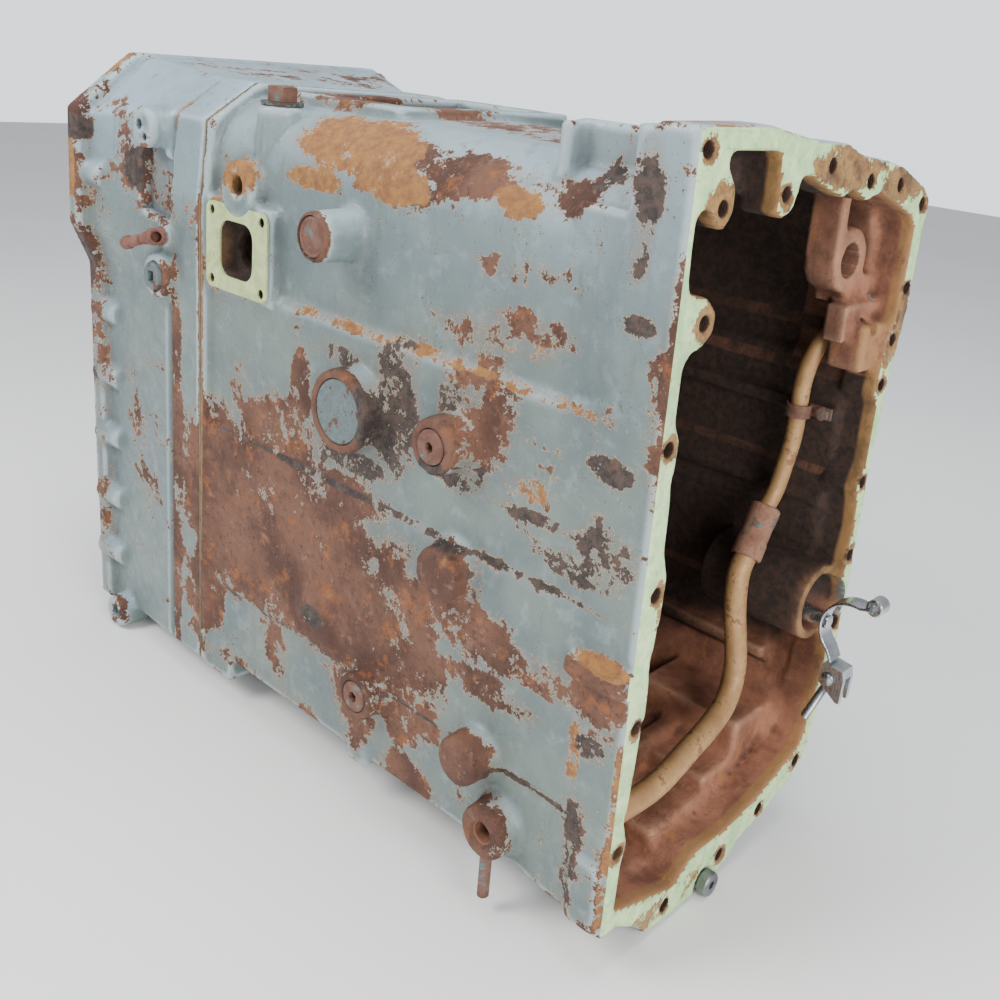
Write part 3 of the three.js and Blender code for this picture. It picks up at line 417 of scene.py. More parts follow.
def hex_head(base, axis, across, height, sides=48):
    """A hexagon of that width across its flats, with its corners rounded off on top."""
    angles = np.arange(sides) * 2 * math.pi / sides
    radii = across / 2 / np.cos((angles + math.pi / 6) % (math.pi / 3) - math.pi / 6)
    shoulder = height - (radii - across / 2) * 0.58 - 0.2
    rings = [(0, 0), (radii, 0), (radii, shoulder), (across * 0.46, height), (0, height)]
    return turned(rings, base, axis, sides)


def screw(base, axis, radius, length, pitch, sides=32, rows=5):
    """A rod with a real helical thread."""
    depth = pitch * 0.5
    angles = np.arange(sides) / sides
    rings = [(0, 0), (radius - depth, 0)]
    for i in range(int(length / pitch * rows) + 1):
        height = i * pitch / rows
        phase = (i / rows - angles) % 1
        ease = min(1, (length - height) / pitch, height / pitch + 0.2)
        rings.append((radius - depth + depth * ease * (1 - np.abs(2 * phase - 1)), height + 0.01))
    rings += [(radius - depth, length + 0.3), (0, length + 0.3)]
    return turned(rings, base, axis, sides)


def tapped(base, axis, radius, depth, chamfer=1.3, pitch=1.75, sides=24):
    """The room of a threaded hole, with its countersink, reaching a little outside the face."""
    mouth = radius + chamfer
    rings = [(0, -6), (mouth, -6), (mouth, 0), (radius + 0.15, chamfer)]
    for i in range(int(min(depth - 3, 12) / pitch)):
        height = chamfer + i * pitch
        rings += [(radius - 0.45, height + pitch * 0.45), (radius + 0.45, height + pitch * 0.95)]
    rings += [(radius - 0.3, depth), (0, depth + 2)]
    return turned(rings, base, axis, sides)


def bore(base, axis, radius, depth, chamfer=0.8, sides=48, before=8):
    """The room of a plain hole with a countersink, reaching outside the face by `before`."""
    mouth = radius + chamfer
    rings = [(0, -before), (mouth, -before), (mouth, 0), (radius, chamfer), (radius, depth), (0, depth)]
    return turned(rings, base, axis, sides)


def flared_boss(x, z, radius, face, wall):
    """A round cast boss on the left wall, drafted, with a fillet at its root."""
    root = wall - face
    rings = [(0, 0), (radius - 1, 0), (radius, 1), (radius + 0.9, root - 5), (radius + 2.4, root - 2),
             (radius + 6, root + 0.6), (radius + 6, root + 7), (0, root + 7)]
    return turned(rings, (x, face, z), RIGHT, 56)


def smooth_route(points, per_span=10):
    """A centripetal Catmull-Rom curve through the points."""
    knots = [Vector(p) for p in points]
    knots = [knots[0] * 2 - knots[1]] + knots + [knots[-1] * 2 - knots[-2]]
    route = []
    for a, b, c, d in zip(knots, knots[1:], knots[2:], knots[3:]):
        t1 = max((b - a).length ** 0.5, 1e-4)
        t2 = t1 + max((c - b).length ** 0.5, 1e-4)
        t3 = t2 + max((d - c).length ** 0.5, 1e-4)
        for i in range(per_span):
            t = t1 + (t2 - t1) * i / per_span
            ab = a.lerp(b, t / t1)
            bc = b.lerp(c, (t - t1) / (t2 - t1))
            cd = c.lerp(d, (t - t2) / (t3 - t2))
            abc = ab.lerp(bc, t / t2)
            bcd = bc.lerp(cd, (t - t1) / (t3 - t1))
            route.append(abc.lerp(bcd, (t - t1) / (t2 - t1)))
    return route + [knots[-2]]


def ring_faces(rings, sides):
    """Faces between rings of points, with both ends closed."""
    faces = []
    for a in range(0, (rings - 1) * sides, sides):
        for j in range(sides):
            k = (j + 1) % sides
            faces.append((a + j, a + k, a + sides + k, a + sides + j))
    last = (rings - 1) * sides
    return faces + [tuple(range(sides)), tuple(range(last, last + sides))]


def tube(route, radius, sides=32):
    """A round bar along the route."""
    points, faces = [], []
    side = (route[1] - route[0]).orthogonal().normalized()
    for i, centre in enumerate(route):
        ahead = route[min(i + 1, len(route) - 1)] - route[max(i - 1, 0)]
        side = (side - side.project(ahead)).normalized()
        other = ahead.normalized().cross(side)
        for a in np.arange(sides) * 2 * math.pi / sides:
            points.append(centre + (side * math.cos(a) + other * math.sin(a)) * radius)
    return points, ring_faces(len(route), sides)


# ---------- from solids to pieces ----------
def mesh_from(solids, name="work"):
    bm = bmesh.new()
    for points, faces in solids:
        verts = [bm.verts.new(at(*p)) for p in points]
        made = [bm.faces.new([verts[i] for i in face]) for face in faces]
        bmesh.ops.recalc_face_normals(bm, faces=made)
    mesh = bpy.data.meshes.new(name)
    bm.to_mesh(mesh)
    bm.free()
    return mesh


def link(name, mesh):
    thing = bpy.data.objects.new(name, mesh)
    bpy.context.collection.objects.link(thing)
    return thing


def settle(thing):
    """Turns an object's modifiers into its mesh."""
    bpy.context.view_layer.update()
    evaluated = thing.evaluated_get(bpy.context.evaluated_depsgraph_get())
    mesh = bpy.data.meshes.new_from_object(evaluated)
    old = thing.data
    thing.modifiers.clear()
    thing.data = mesh
    bpy.data.meshes.remove(old)


def remesh(thing, voxel):
    """Fuses everything in the mesh and rounds its edges, as casting or forging leaves them."""
    modifier = thing.modifiers.new("fuse", "REMESH")
    modifier.mode = "VOXEL"
    modifier.voxel_size = voxel * MM
    soften = thing.modifiers.new("soften", "SMOOTH")
    soften.factor = 0.5
    soften.iterations = 2
    settle(thing)


def boolean(thing, solids, operation="DIFFERENCE"):
    tool = link("tool", mesh_from(solids))
    modifier = thing.modifiers.new("cut", "BOOLEAN")
    modifier.operation = operation
    modifier.solver = "MANIFOLD"
    modifier.object = tool
    settle(thing)
    bpy.data.objects.remove(tool)


def dress(thing, material, nodes, body="case", angle=40):
    """Gives a finished piece its material and its body, and hides the CAD nodes that it stands for."""
    thing.data.materials.clear()
    thing.data.materials.append(material)
    for polygon in thing.data.polygons:
        polygon.use_smooth = True
    thing.data.set_sharp_from_angle(angle=math.radians(angle))
    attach(thing, body)
    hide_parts(*nodes)


def piece(node, solids, material, cuts=(), fuse=None, name=None):
    """A small part in place of one CAD node: solids fused or kept apart, then cut."""
    name = name or node + "_detail"
    thing = link(name, mesh_from(solids, name))
    if fuse:
        remesh(thing, fuse)
    for cut in cuts:
        boolean(thing, [cut])
    dress(thing, material, [node])


# ---------- the two castings ----------
# the rooms inside them and the centres of holes, bolts and ears, in y and z
CASE_INNER = [(17, 22), (17, 388), (25, 402), (25, 505), (32, 535), (50, 550), (73, 554), (190, 556),
              (284, 547), (318, 535), (329, 500), (329, 404), (321, 396), (317, 260), (315, 104), (298, 62),
              (276, 28), (200, 0), (120, -10), (60, 4), (26, 18)]
BELL_INNER = [(66, 572), (356, 573), (425, 541), (440, 494), (440, 78), (412, 12), (324, -24), (68, -24),
              (32, -16), (15, 18), (15, 378), (-3, 424), (-2, 528)]
FLANGE_HOLES = [(11, 586), (36, 549), (113, 556), (173, 575), (238, 563), (292, 559), (341, 542),
                (342, 470), (332, 425), (326, 385), (325, 294), (327, 222), (321, 155), (32, 474),
                (10, 391), (17, 282), (14, 177), (11, 71), (88, -23), (168, -18), (228, -2), (288, 21)]
JOINT_BOLTS = [(27, 60), (27, 210), (27, 320), (30, 470), (110, 548), (230, 546), (318, 470), (316, 330),
               (315, 200), (314, 80), (240, 10), (110, 4)]
BELL_EARS = [(13, 322), (13, 250), (13, 180), (13, 108), (13, 40), (0, 470), (82, 574), (220, 576),
             (350, 576), (441, 480), (441, 330), (441, 190), (436, 60), (330, -24), (200, -26), (80, -26)]
# round bosses: x, z, radius, face and wall in y
WALL_BOSSES = [(-340, 475, 21, -30, 12), (-315, 333, 36, -18, 4), (-193, 341, 23, -24, 4),
               (-186, 235, 23, -18, 0.5), (-277, 82, 21, -18, 1), (-141, 92, 21, -26, 1),
               (-113, 38, 23, -20, 3)]
# the roof's rounded corners, outside and inside: y, z, radius, side
ROOF_ARCS = [(72, 508, 60, -1), (284, 500, 60, 1), (73, 505, 48, -1), (282, 500, 47, 1)]
HOUSING_BOSSES = [(-612, 388, 22, -12, 1), (-606, 428, 12, -6, 1)]
# where each shaft runs: y, z, and the bore's radius in the case and in the front housing
SHAFTS = [(170, 392, 78.2, 66.3), (150, 205, 58.2, 42.3), (268, 250, 30.2, 24.3)]
# the long axis of the two castings and the axis of the clamp's post, in y and z
MIDDLE = (170, 290)
POST = (300, 178)
# the side port's centre, its screws' distance from it, and the screws, in x and z
PORT_X, PORT_Z = -487, 435
SCREW_X, SCREW_Z = 39, 32
PORT_SCREWS = [(PORT_X + dx, PORT_Z + dz) for dx in (-SCREW_X, SCREW_X) for dz in (-SCREW_Z, SCREW_Z)]
# the outer radius of a flange hole's countersink
HOLE_MOUTH = 7.2
CASTING_VOXEL = 3.3


def on_wall(*zones):
    """Zones centred in the plane of the left wall, written without their y and its half size."""
    return [(x, 0, z, half_x, 60, half_z, strength) for x, z, half_x, half_z, strength in zones]


# worn zones as soft ellipsoids: centre, half sizes, strength; some dark zones are painted shade
RUST = on_wall(
    (-520, 185, 60, 84, 1.05), (-430, 178, 90, 88, 1.1), (-335, 165, 80, 88, 1.05),
    (-262, 160, 62, 72, 0.9), (-215, 120, 34, 54, 0.75), (-420, 278, 70, 34, 0.8), (-395, 322, 17, 44, 0.8),
    (-485, 290, 16, 46, 0.55), (-330, 250, 60, 22, 0.8), (-591, 190, 12, 200, 0.95),
    (-545, 72, 34, 46, 0.7), (-420, 55, 20, 30, 0.7), (-300, 60, 34, 40, 0.75), (-245, 75, 28, 28, 0.75),
    (-225, 18, 40, 20, 0.75), (-450, 10, 120, 10, 0.45), (-172, 368, 40, 44, 0.75),
    (-190, 430, 40, 15, 0.65), (-140, 442, 50, 14, 0.62), (-150, 480, 50, 10, 0.35),
    (-110, 185, 74, 16, 0.7), (-165, 195, 44, 26, 0.65), (-130, 150, 60, 14, 0.5), (-4, 430, 14, 80, 0.5),
    (-690, 240, 18, 48, 0.4), (-640, 290, 26, 12, 0.4), (-650, 150, 36, 22, 0.45),
    (-760, 300, 18, 300, 0.4), (-30, 175, 24, 18, 0.5),
) + [
    (-30, -4, 196, 30, 16, 26, 1), (-32, -10, 211, 26, 6, 7, 1), (-340, -31, 475, 24, 7, 24, 1),
    (-193, -25, 341, 25, 9, 25, 1), (-186, -18, 235, 30, 22, 28, 1), (-141, -24, 92, 27, 26, 27, 1),
    (-277, -16, 82, 24, 20, 24, 0.8), (-113, -16, 38, 27, 24, 27, 0.85), (-210, 10, 540, 64, 60, 15, 0.62),
    (-120, 10, 540, 30, 60, 14, 0.45), (-285, 20, 545, 26, 50, 14, 0.9), (-430, 130, 575, 90, 60, 24, 0.8),
    (-220, 160, 570, 120, 70, 24, 0.5), (-300, 340, 200, 160, 40, 110, 0.6),
    (-120, 340, 380, 60, 40, 80, 0.5), (-470, 340, 440, 50, 40, 50, 0.5),
    (-250, 150, -20, 180, 90, 30, 0.6), (-690, 440, 250, 60, 40, 120, 0.5),
    (-680, 200, 590, 90, 160, 24, 0.35),
]
OCHRE = on_wall(
    (-130, 425, 30, 9, 0.5), (-120, 325, 28, 11, 0.45), (-45, 140, 7, 33, 0.6), (-524, 440, 10, 60, 0.8),
    (-547, 300, 4, 200, 0.7),
) + [
    (-355, 20, 548, 78, 50, 24, 1), (-300, 10, 525, 44, 50, 17, 0.85), (-395, 10, 513, 38, 50, 11, 0.8),
    (-160, 10, 530, 26, 50, 11, 0.8), (-290, 6, 400, 150, 14, 5, 0.6), (-110, 6, 398, 80, 14, 5, 0.45),
    (-487, 0, 503, 28, 30, 18, 0.7), (-28, -6, 224, 27, 12, 6, 0.9), (-600, 0, 560, 6, 40, 40, 0.7),
    (-766, -10, 470, 12, 30, 40, 0.8), (-766, 10, 585, 12, 60, 20, 0.7), (-4, 0, 90, 4, 30, 90, 0.55),
    (-30, 40, 598, 40, 30, 8, 0.6), (-260, 250, 572, 60, 40, 16, 0.6),
]
DARK_AND_SHADE = on_wall(
    (-266, 345, 30, 56, 0.82), (-320, 284, 56, 13, 0.75), (-345, 374, 42, 9, 0.55),
    (-185, 316, 30, 18, 0.65), (-202, 374, 20, 13, 0.6), (-110, 306, 60, 6, 0.62), (-40, 366, 22, 11, 0.95),
    (-28, 470, 14, 8, 0.95), (-35, 545, 11, 50, 0.65), (-38, 300, 28, 28, 0.6), (-62, 282, 46, 12, 0.55),
    (-38, 55, 12, 55, 0.55), (-30, 152, 18, 12, 0.55),
) + [
    # painted shadow: the long thin dark zones at z 258 and z 88 stand for the shadow lines under the ledges
    # of the left wall
    (-90, 0, 258, 86, 30, 3.4, 0.66), (-100, 0, 86, 66, 20, 3, 0.7), (-290, 2, 257, 290, 20, 3.2, 0.62),
    # painted shade: the zone at (-640, 6, 486) darkens the pocket in the front housing
    (-290, 2, 88, 290, 20, 3, 0.55), (-359, 0, 121, 17, 20, 11, 0.95), (-640, 6, 486, 42, 40, 24, 0.85),
    (-760, 0, 515, 18, 40, 14, 0.8), (-764, 0, 380, 14, 40, 30, 0.6), (-764, 0, 250, 12, 40, 20, 0.6),
    (-158, 6, 238, 10, 16, 26, 0.5), (-500, 60, 566, 20, 40, 10, 0.6), (-66, 60, 560, 40, 60, 30, 0.5),
]


def zone(places, zones):
    """The strongest of the soft ellipsoids at each place."""
    result = np.zeros(len(places))
    for x, y, z, rx, ry, rz, strength in zones:
        away = (places - (x, y, z)) / (rx, ry, rz)
        near = np.clip(1.35 - np.sqrt((away**2).sum(axis=1)), 0, 1)
        result = np.maximum(result, np.minimum(near * 1.6, 1) * strength)
    return result


def within(outline, y, z):
    """Which points lie inside an outline in y and z."""
    inside = np.zeros(len(y), bool)
    for (y0, z0), (y1, z1) in zip(outline, outline[1:] + outline[:1]):
        if z0 == z1:
            continue
        crosses = (z0 > z) != (z1 > z)
        inside ^= crosses & (y < (y1 - y0) * (z - z0) / (z1 - z0) + y0)
    return inside


def curvature(mesh, places, normals):
    """How sharply the surface bends at each vertex, per millimetre; convex is positive."""
    ends = np.empty(len(mesh.edges) * 2, np.int32)
    mesh.edges.foreach_get("vertices", ends)
    a, b = ends[::2], ends[1::2]

    def gathered(at_a, at_b):
        return np.bincount(a, at_a, len(places)) + np.bincount(b, at_b, len(places))

    along = places[b] - places[a]
    bend = ((normals[b] - normals[a]) * along).sum(axis=1) / np.maximum((along**2).sum(axis=1), 0.3)
    count = np.maximum(gathered(None, None), 1)
    value = gathered(bend, bend) / count
    for _ in range(2):
        value = (value + gathered(value[b], value[a]) / count) / 2
    return value


def vectors(items, field):
    """One vector field of a mesh's vertices or polygons, as rows."""
    values = np.empty(len(items) * 3, np.float32)
    items.foreach_get(field, values)
    return values.reshape(-1, 3)


def arrays(mesh):
    places = (vectors(mesh.vertices, "co") - np.array(ORIGIN)) / MM
    return places, vectors(mesh.vertices, "normal")


def true_arc(places, y, z, radius, facing):
    """Moves vertices of a corner drawn with few sides onto its true arc."""
    dy, dz = places[:, 1] - y, places[:, 2] - z
    away = np.hypot(dy, dz)
    hit = (np.abs(away - radius + 0.5) < 1.7) & (dy * facing > 2) & (dz > 2)
    hit &= (places[:, 0] < -36) & (places[:, 0] > -536)
    scale = radius / away[hit]
    places[hit, 1] = y + dy[hit] * scale
    places[hit, 2] = z + dz[hit] * scale


def save_mask(mesh, name, values, domain="POINT"):
    layer = mesh.attributes.new(name, "FLOAT", domain)
    layer.data.foreach_set("value", np.clip(values, 0, 1).astype(np.float32))


def machined_face(mesh):
    """Marks the polygons of the rear flange's planed face."""
    level = (vectors(mesh.polygons, "center")[:, 0] - ORIGIN[0]) * 1000
    return ((level > -1.5) & (vectors(mesh.polygons, "normal")[:, 0] > 0.6)).astype(float)


# places on the rear flange where the gasket is scraped off
SCRAPED = [
    (0, 36, 545, 9, 26, 26, 1), (0, 40, 475, 9, 22, 16, 1), (0, 200, 575, 9, 60, 20, 0.8),
    (0, 300, 560, 9, 50, 18, 0.8), (0, 325, 440, 9, 26, 40, 1), (0, 100, -20, 9, 80, 14, 0.6),
    (0, 25, 100, 9, 9, 60, 0.6), (0, 290, 25, 9, 26, 22, 0.5), (0, 24, 250, 9, 7, 90, 0.5),
]


def add_masks(mesh, inside_of, top_light):
    """Writes the vertex masks that the cast-iron material reads."""
    places, normals = arrays(mesh)
    x, y, z = places.T
    _, rightward, upward = normals.T
    bend = curvature(mesh, places, normals) * 7
    to_y, to_z = MIDDLE[0] - y, MIDDLE[1] - z
    inward = (rightward * to_y + upward * to_z) / (np.hypot(to_y, to_z) + 1e-6)
    inner = inside_of(x, y, z, inward, rightward)
    holes = np.min([np.hypot(y - hy, z - hz) for hy, hz in FLANGE_HOLES], axis=0)
    inner |= (holes < HOLE_MOUTH) & (x > -30)
    ring = (np.abs(np.hypot(x + 315, z - 333) - 32) < 5) & (y < -12)
    # painted light and shade inside, over dust and oil: lighter low down, on upward faces, near the open
    # rear end and on faces turned to the rear; darker further in
    dusty = (155 - z) / 105 + 0.35 * np.maximum(upward, 0) + 0.012 * (x + 60) * (x > -60)
    dusty = np.where((y > 258) & (z > 390) & (x > -90), 0.5 + 0.25 * normals[:, 0], dusty)
    dusty -= np.clip((-110 - x) / 170, 0, 0.9)
    masks = {
        "rust": np.maximum(zone(places, RUST), ring * 0.95),
        "ochre": np.maximum(zone(places, OCHRE), inner * (x > -13) * (holes > 8.5) * 0.9),
        "dark": zone(places, DARK_AND_SHADE),
        # convex bend: rubbed edges, and a painted highlight along them
        "edge": bend,
        # painted shade in hollows, outside and inside, follows this concave bend
        "cavity": -bend,
        "inner": inner,
        "dusty": np.where(holes < 8, 0.3, dusty),
        "bare": np.maximum(1.15 - holes / 15, zone(places, SCRAPED) * 0.85),
        # painted top light with some chalking: upward faces and higher parts are paler
        "pale": np.maximum(upward * 0.9, 0) + top_light(x, y, z),
    }
    for name, values in masks.items():
        save_mask(mesh, name, values)
    save_mask(mesh, "mint", machined_face(mesh), "FACE")


def cad_copy(node, extras):
    """The CAD node's mesh with extra rounded solids laid over it."""
    bm = bmesh.new()
    bm.from_mesh(NODES[node].data)
    bmesh.ops.remove_doubles(bm, verts=bm.verts, dist=0.01 * MM)
    bm.from_mesh(mesh_from(extras))
    mesh = bpy.data.meshes.new(node + "_casting")
    bm.to_mesh(mesh)
    bm.free()
    return link(node + "_casting", mesh)


FLANGE_MOUTH = [(6, 590), (336, 560), (345, 380), (330, 100), (300, 15), (250, -2), (110, -25), (12, -5)]
FLANGE_CORE = [(6, 590), (326, 545), (328, 440), (318, 300), (300, 100), (280, 30), (240, 12), (110, -14),
               (12, -5)]


def case_inside(x, y, z, inward, _rightward):
    """Which vertices of the main case are bare metal inside."""
    grown = [(py + (5 if py > 170 else -5), pz + (5 if pz > 280 else -5)) for py, pz in CASE_INNER]
    body = within(grown, y, z) & (x < -33) & (x > -547)
    core = within(FLANGE_CORE, y, z) | (inward > -0.3)
    mouth = (x >= -34) & (x < -1.2) & within(FLANGE_MOUTH, y, z) & (y > 5) & core
    mouth |= (x > -42) & (x < -1) & (y > 32) & (y < 106) & (z > 530) & (z < 591)
    dx, dz = np.abs(x - PORT_X), np.abs(z - PORT_Z)
    port = (dx < 27) & (dz < 27) & (y > 1.2) & (y < 40)
    port |= (np.hypot(dx - SCREW_X, dz - SCREW_Z) < 5.9) & (y > 0.5) & (y < 26)
    port |= (np.hypot(dx, z - 494) < 9.9) & (y > -1) & (y < 28)
    port |= (np.hypot(x + 113, z - 38) < 10.6) & (y > -17) & (y < 3)
    return body | mouth | port


def case_top_light(x, y, z):
    """Painted top light on the case, with some chalking: paler high on the left wall, and high near the
    rear flange.
    """
    wall = 0.4 * np.clip((z - 390) / 170, 0, 1) * (y < 60)
    return wall + 0.3 * np.clip((z - 470) / 60, 0, 1) * (x > -140)


def case_holes():
    """The threaded and plain holes of the main case."""
    holes = [tapped((-0.4, y, z), FORWARD, 5.9, 26) for y, z in FLANGE_HOLES]
    holes += [bore((-488 + dx, y, 577), DOWN, 5.9, 17, 1.2, 20) for dx in (0, 63, 126) for y in (82, 268)]
    holes += [tapped((x, -0.2, z), RIGHT, 4.9, 22, 0.8, 1.25, 20) for x, z in PORT_SCREWS]
    holes += [
        tapped((PORT_X, -3, 494), RIGHT, 9, 28, 2, 1.75, 32),
        bore((-12, *POST), FORWARD, 26.4, 108, 2.5, 64, 13),
        bore((-30, 288, 492), FORWARD, 15.4, 36, 1.2, 40),
        bore((-8, 308, 436), FORWARD, 6.6, 34, 1, 24),
        tapped((-113, -20, 38), RIGHT, 9.6, 19, 2.5, 1.5, 32),
    ]
    for (y, z, radius, _), chamfer, sides in zip(SHAFTS, (1.5, 1.5, 1), (72, 64, 48)):
        holes.append(bore((-310, y, z), FORWARD, radius, 60, chamfer, sides, 12))
    return holes


def case_seats():
    """The sunk seats that the plugs of the main case sit in."""
    return [
        bore((-340, -30, 475), RIGHT, 17.6, 6.5, 0.5),
        bore((-315, -18, 333), RIGHT, 28.6, 6.5, 0.5),
        bore((-193, -24, 341), RIGHT, 14.6, 16.5, 0.8),
        bore((-277, -18, 82), RIGHT, 14.6, 12.5, 0.8),
        bore((PORT_X, -10, PORT_Z), RIGHT, 20.3, 72, 0.1, 48, 4),
        bore((-472, 34, 566), DOWN, 10.8, 21, 0.6, 32),
        bore((-320, 352, 330), LEFT, 36.8, 8.5, 0.5),
        bore((-160, 346, 120), LEFT, 13.8, 16.5, 0.8),
    ]


def main_casting(material):
    extras = [flared_boss(*boss) for boss in WALL_BOSSES]
    extras.append(rod(25, 0, 30, (PORT_X, -3, 492), RIGHT))
    extras.append(turned([(0, 0), (21, 0), (23, 50), (0, 50)], (-472, 34, 566), DOWN))
    extras.append(rod(36, 0, 106, (-14, *POST), FORWARD))
    thing = cad_copy("main_case", extras)
    remesh(thing, CASTING_VOXEL)
    mesh = thing.data
    places, _ = arrays(mesh)
    for arc in ROOF_ARCS:
        true_arc(places, *arc)
    mesh.vertices.foreach_set("co", (places * MM + np.array(ORIGIN)).astype(np.float32).ravel())
    mesh.update()
    for cuts in ([slab(-0.4, 20, -60, 420, -80, 640, 5)], case_holes(), case_seats()):
        boolean(thing, cuts)
    add_masks(thing.data, case_inside, case_top_light)
    dress(thing, material, ["main_case"], angle=50)


def housing_inside(x, y, z, inward, rightward):
    """Which vertices of the front housing are bare metal inside."""
    core = (y > 24) & (y < 320) & (z > 0) & (z < 550)
    left = (y > 16) | (rightward > 0.4) | ((x < -750) & (y > -4))
    return within(BELL_INNER, y, z) & (x > -769) & (x < -549) & left & (core | (inward > -0.25))


# painted top light on the front housing, with some chalking: paler high up
def housing_top_light(x, y, z):
    return 0.1 + 0.5 * np.clip((z - 440) / 80, 0, 1)


def housing_casting(material):
    extras = [flared_boss(*boss) for boss in HOUSING_BOSSES]
    extras += [turned([(0, 0), (18, 0), (19, 1), (19, height), (0, height)], base, RIGHT)
               for height, base in ((34, (-712, -10, -22)), (22, (-631, -12, 528)))]
    ear = [(0, 0), (14, 0), (14, 40), (10, 46), (0, 46)]
    extras += [turned(ear, (-766, y, z), BACKWARD, 32) for y, z in BELL_EARS]
    thing = cad_copy("front_housing", extras)
    remesh(thing, CASTING_VOXEL)
    pocket = [(-652, 448), (-604, 440), (-604, 500), (-616, 505), (-616, 509), (-652, 509)]
    boolean(thing, [slab(-790, -769.6, -60, 500, -80, 640, 9), prism(pocket, -14, 9.2)])
    holes = [bore((-769.6, y, z), BACKWARD, 7.3, 22, 1, 24) for y, z in BELL_EARS]
    holes += [bore((-590, y, z), BACKWARD, radius, 50, 1.5, 64, 12) for y, z, _, radius in SHAFTS]
    boolean(thing, holes)
    seats = [
        bore((-612, -12, 388), RIGHT, 14.7, 13.5, 0.8),
        bore((-606, -6, 428), RIGHT, 6.7, 11, 0.5, 24),
        tapped((-712, -10, -22), RIGHT, 8.2, 34, 1.5, 1.5, 28),
        turned([(0, -6), (5, -6), (5, 6), (0, 7)], (-636, -12, 531), RIGHT, 24),
        turned([(0, -6), (3.5, -6), (3.5, 4), (0, 5)], (-626, -12, 520), RIGHT, 20),
    ]
    boolean(thing, seats)
    add_masks(thing.data, housing_inside, housing_top_light)
    dress(thing, material, ["front_housing"], angle=50)


# ---------- small parts ----------
def joint_fasteners(material):
    """Hexagon bolts with washers, inside the bell, holding the two castings together."""
    ring = [(7.2, 0), (12.4, 0), (12.5, 0.3), (12.5, 2.1), (12.2, 2.5), (7.2, 2.5), (7.2, 0)]
    for number, (y, z) in enumerate(JOINT_BOLTS, 1):
        washer = turned(ring, (-567.7, y, z), FORWARD, 40)
        head = hex_head((-570.3, y, z), FORWARD, 21, 8.4)
        shank = screw((-567, y, z), BACKWARD, 6.9, 33, 2, 24, 4)
        piece(f"joint_bolt_{number}", [washer, head, shank], material)


def cup(node, x, z, radius, face, depth, material, axis=RIGHT, fill=0):
    """A pressed core plug: a dished disc with a rolled rim."""
    rings = [(0, 1.6 - fill), (radius - 6, 1.4 - fill), (radius - 4.2, 1), (radius - 3, 0.3),
             (radius - 1.6, 0), (radius - 0.5, 0.4), (radius, 1.4), (radius, depth), (0, depth)]
    piece(node, [turned(rings, (x, face, z), axis, 56)], material)


def socket_screw(node, x, z, face, depth, socket, sides, material):
    """A threaded plug with a hexagonal or square socket."""
    body = turned([(0, 0), (12.4, 0), (13.6, 1), (14, 2), (14, depth), (0, depth)], (x, face, z), RIGHT)
    well = turned([(0, -3), (socket + 0.5, -3), (socket + 0.4, 0), (socket, 0.8), (socket, 6.6), (0, 7)],
                  (x, face, z), RIGHT, sides, math.pi / sides)
    piece(node, [body], material, [well])


def plugs(rusty, painted):
    cup("upper_bore_plug", -340, 475, 17, -28.5, 4, rusty, fill=1.2)
    cup("core_plug", -315, 333, 28, -17, 4.6, painted)
    cup("side_cap", -320, 330, 36, 353.5, 8, painted, LEFT)
    socket_screw("detent_plug", -193, 341, -26, 17, 4.5, 6, rusty)
    socket_screw("lower_screw_plug", -277, 82, -19, 12, 5, 6, rusty)
    socket_screw("square_socket_plug", -612, 388, -16, 17, 7.5, 4, painted)
    hexed = [("top_hex_plug", (-472, 34, 569.6), UP, 24.2, 13.2, 10, 21.4),
             ("drain_plug", (-250, 150, -30.6), DOWN, 29.4, 7.3, 13, 22),
             ("level_plug", (-160, 346.5, 120), RIGHT, 27.7, 9.4, 13, 15)]
    for node, base, axis, across, height, radius, length in hexed:
        head = hex_head(base, axis, across, height)
        shank = screw(base, [-a for a in axis], radius, length, 1.8, 32, 4)
        piece(node, [head, shank], rusty)


def hose_elbow(material):
    """A banjo fitting with a short outlet and a barbed hose tail."""
    centre = (-606, -16, 428)
    outlet, hose = (17, -6, 3), (-44, -6, -14)
    ball = [(0, -8.5), (4.8, -7), (7.9, -3), (8.5, 0), (7.9, 3), (4.8, 7), (0, 8.5)]
    mouth = [(0, 0), (7.4, 0), (7.4, 12), (8, 13), (8, 17.2), (7.2, 18.2), (0, 18.2)]
    tail = [(0, 0), (6.3, 0), (6.3, 12), (5.3, 14), (5.3, 36), (6.9, 37.4), (6.2, 41.5), (6.8, 42),
            (5.5, 46.2), (0, 46.2)]
    solids = [
        rod(6, 0, 19, (-606, -15, 428), RIGHT, 32),
        hex_head((-606, -6.5, 428), LEFT, 17.2, 4.6),
        turned(ball, centre, RIGHT, 40),
        turned(mouth, centre, outlet, 40),
        turned(tail, centre, hose, 36),
    ]
    cuts = [rod(5.2, 6, 26, centre, outlet, 32), rod(3.2, 16, 60, centre, hose, 24)]
    piece("hose_elbow", solids, material, cuts, fuse=0.55)


def bottom_fittings(rusty, grey):
    rings = [(3.1, 0), (4.4, 0), (5, 0.6), (5, 49.6), (3.1, 49.6), (3.1, 0)]
    piece("drain_tube", [turned(rings, (-113, -10, -26), UP, 36)], rusty)
    rings = [(3.6, 8.9), (9.8, 8.9), (10.9, 7.8), (10.9, 0.6), (9, 0.4), (9, -23.4), (8.4, -24), (0, -24),
             (0, -11), (3.6, -11), (3.6, 8.9)]
    piece("bottom_union", [turned(rings, (0, 144, -30), BACKWARD)], grey)


# ---------- the oil pipes ----------
SLEEVE_LOW = Vector((-70, 258, 214))
SLEEVE_HIGH = Vector((-72, 286, 256))
NUT = (-43, 41, 58)


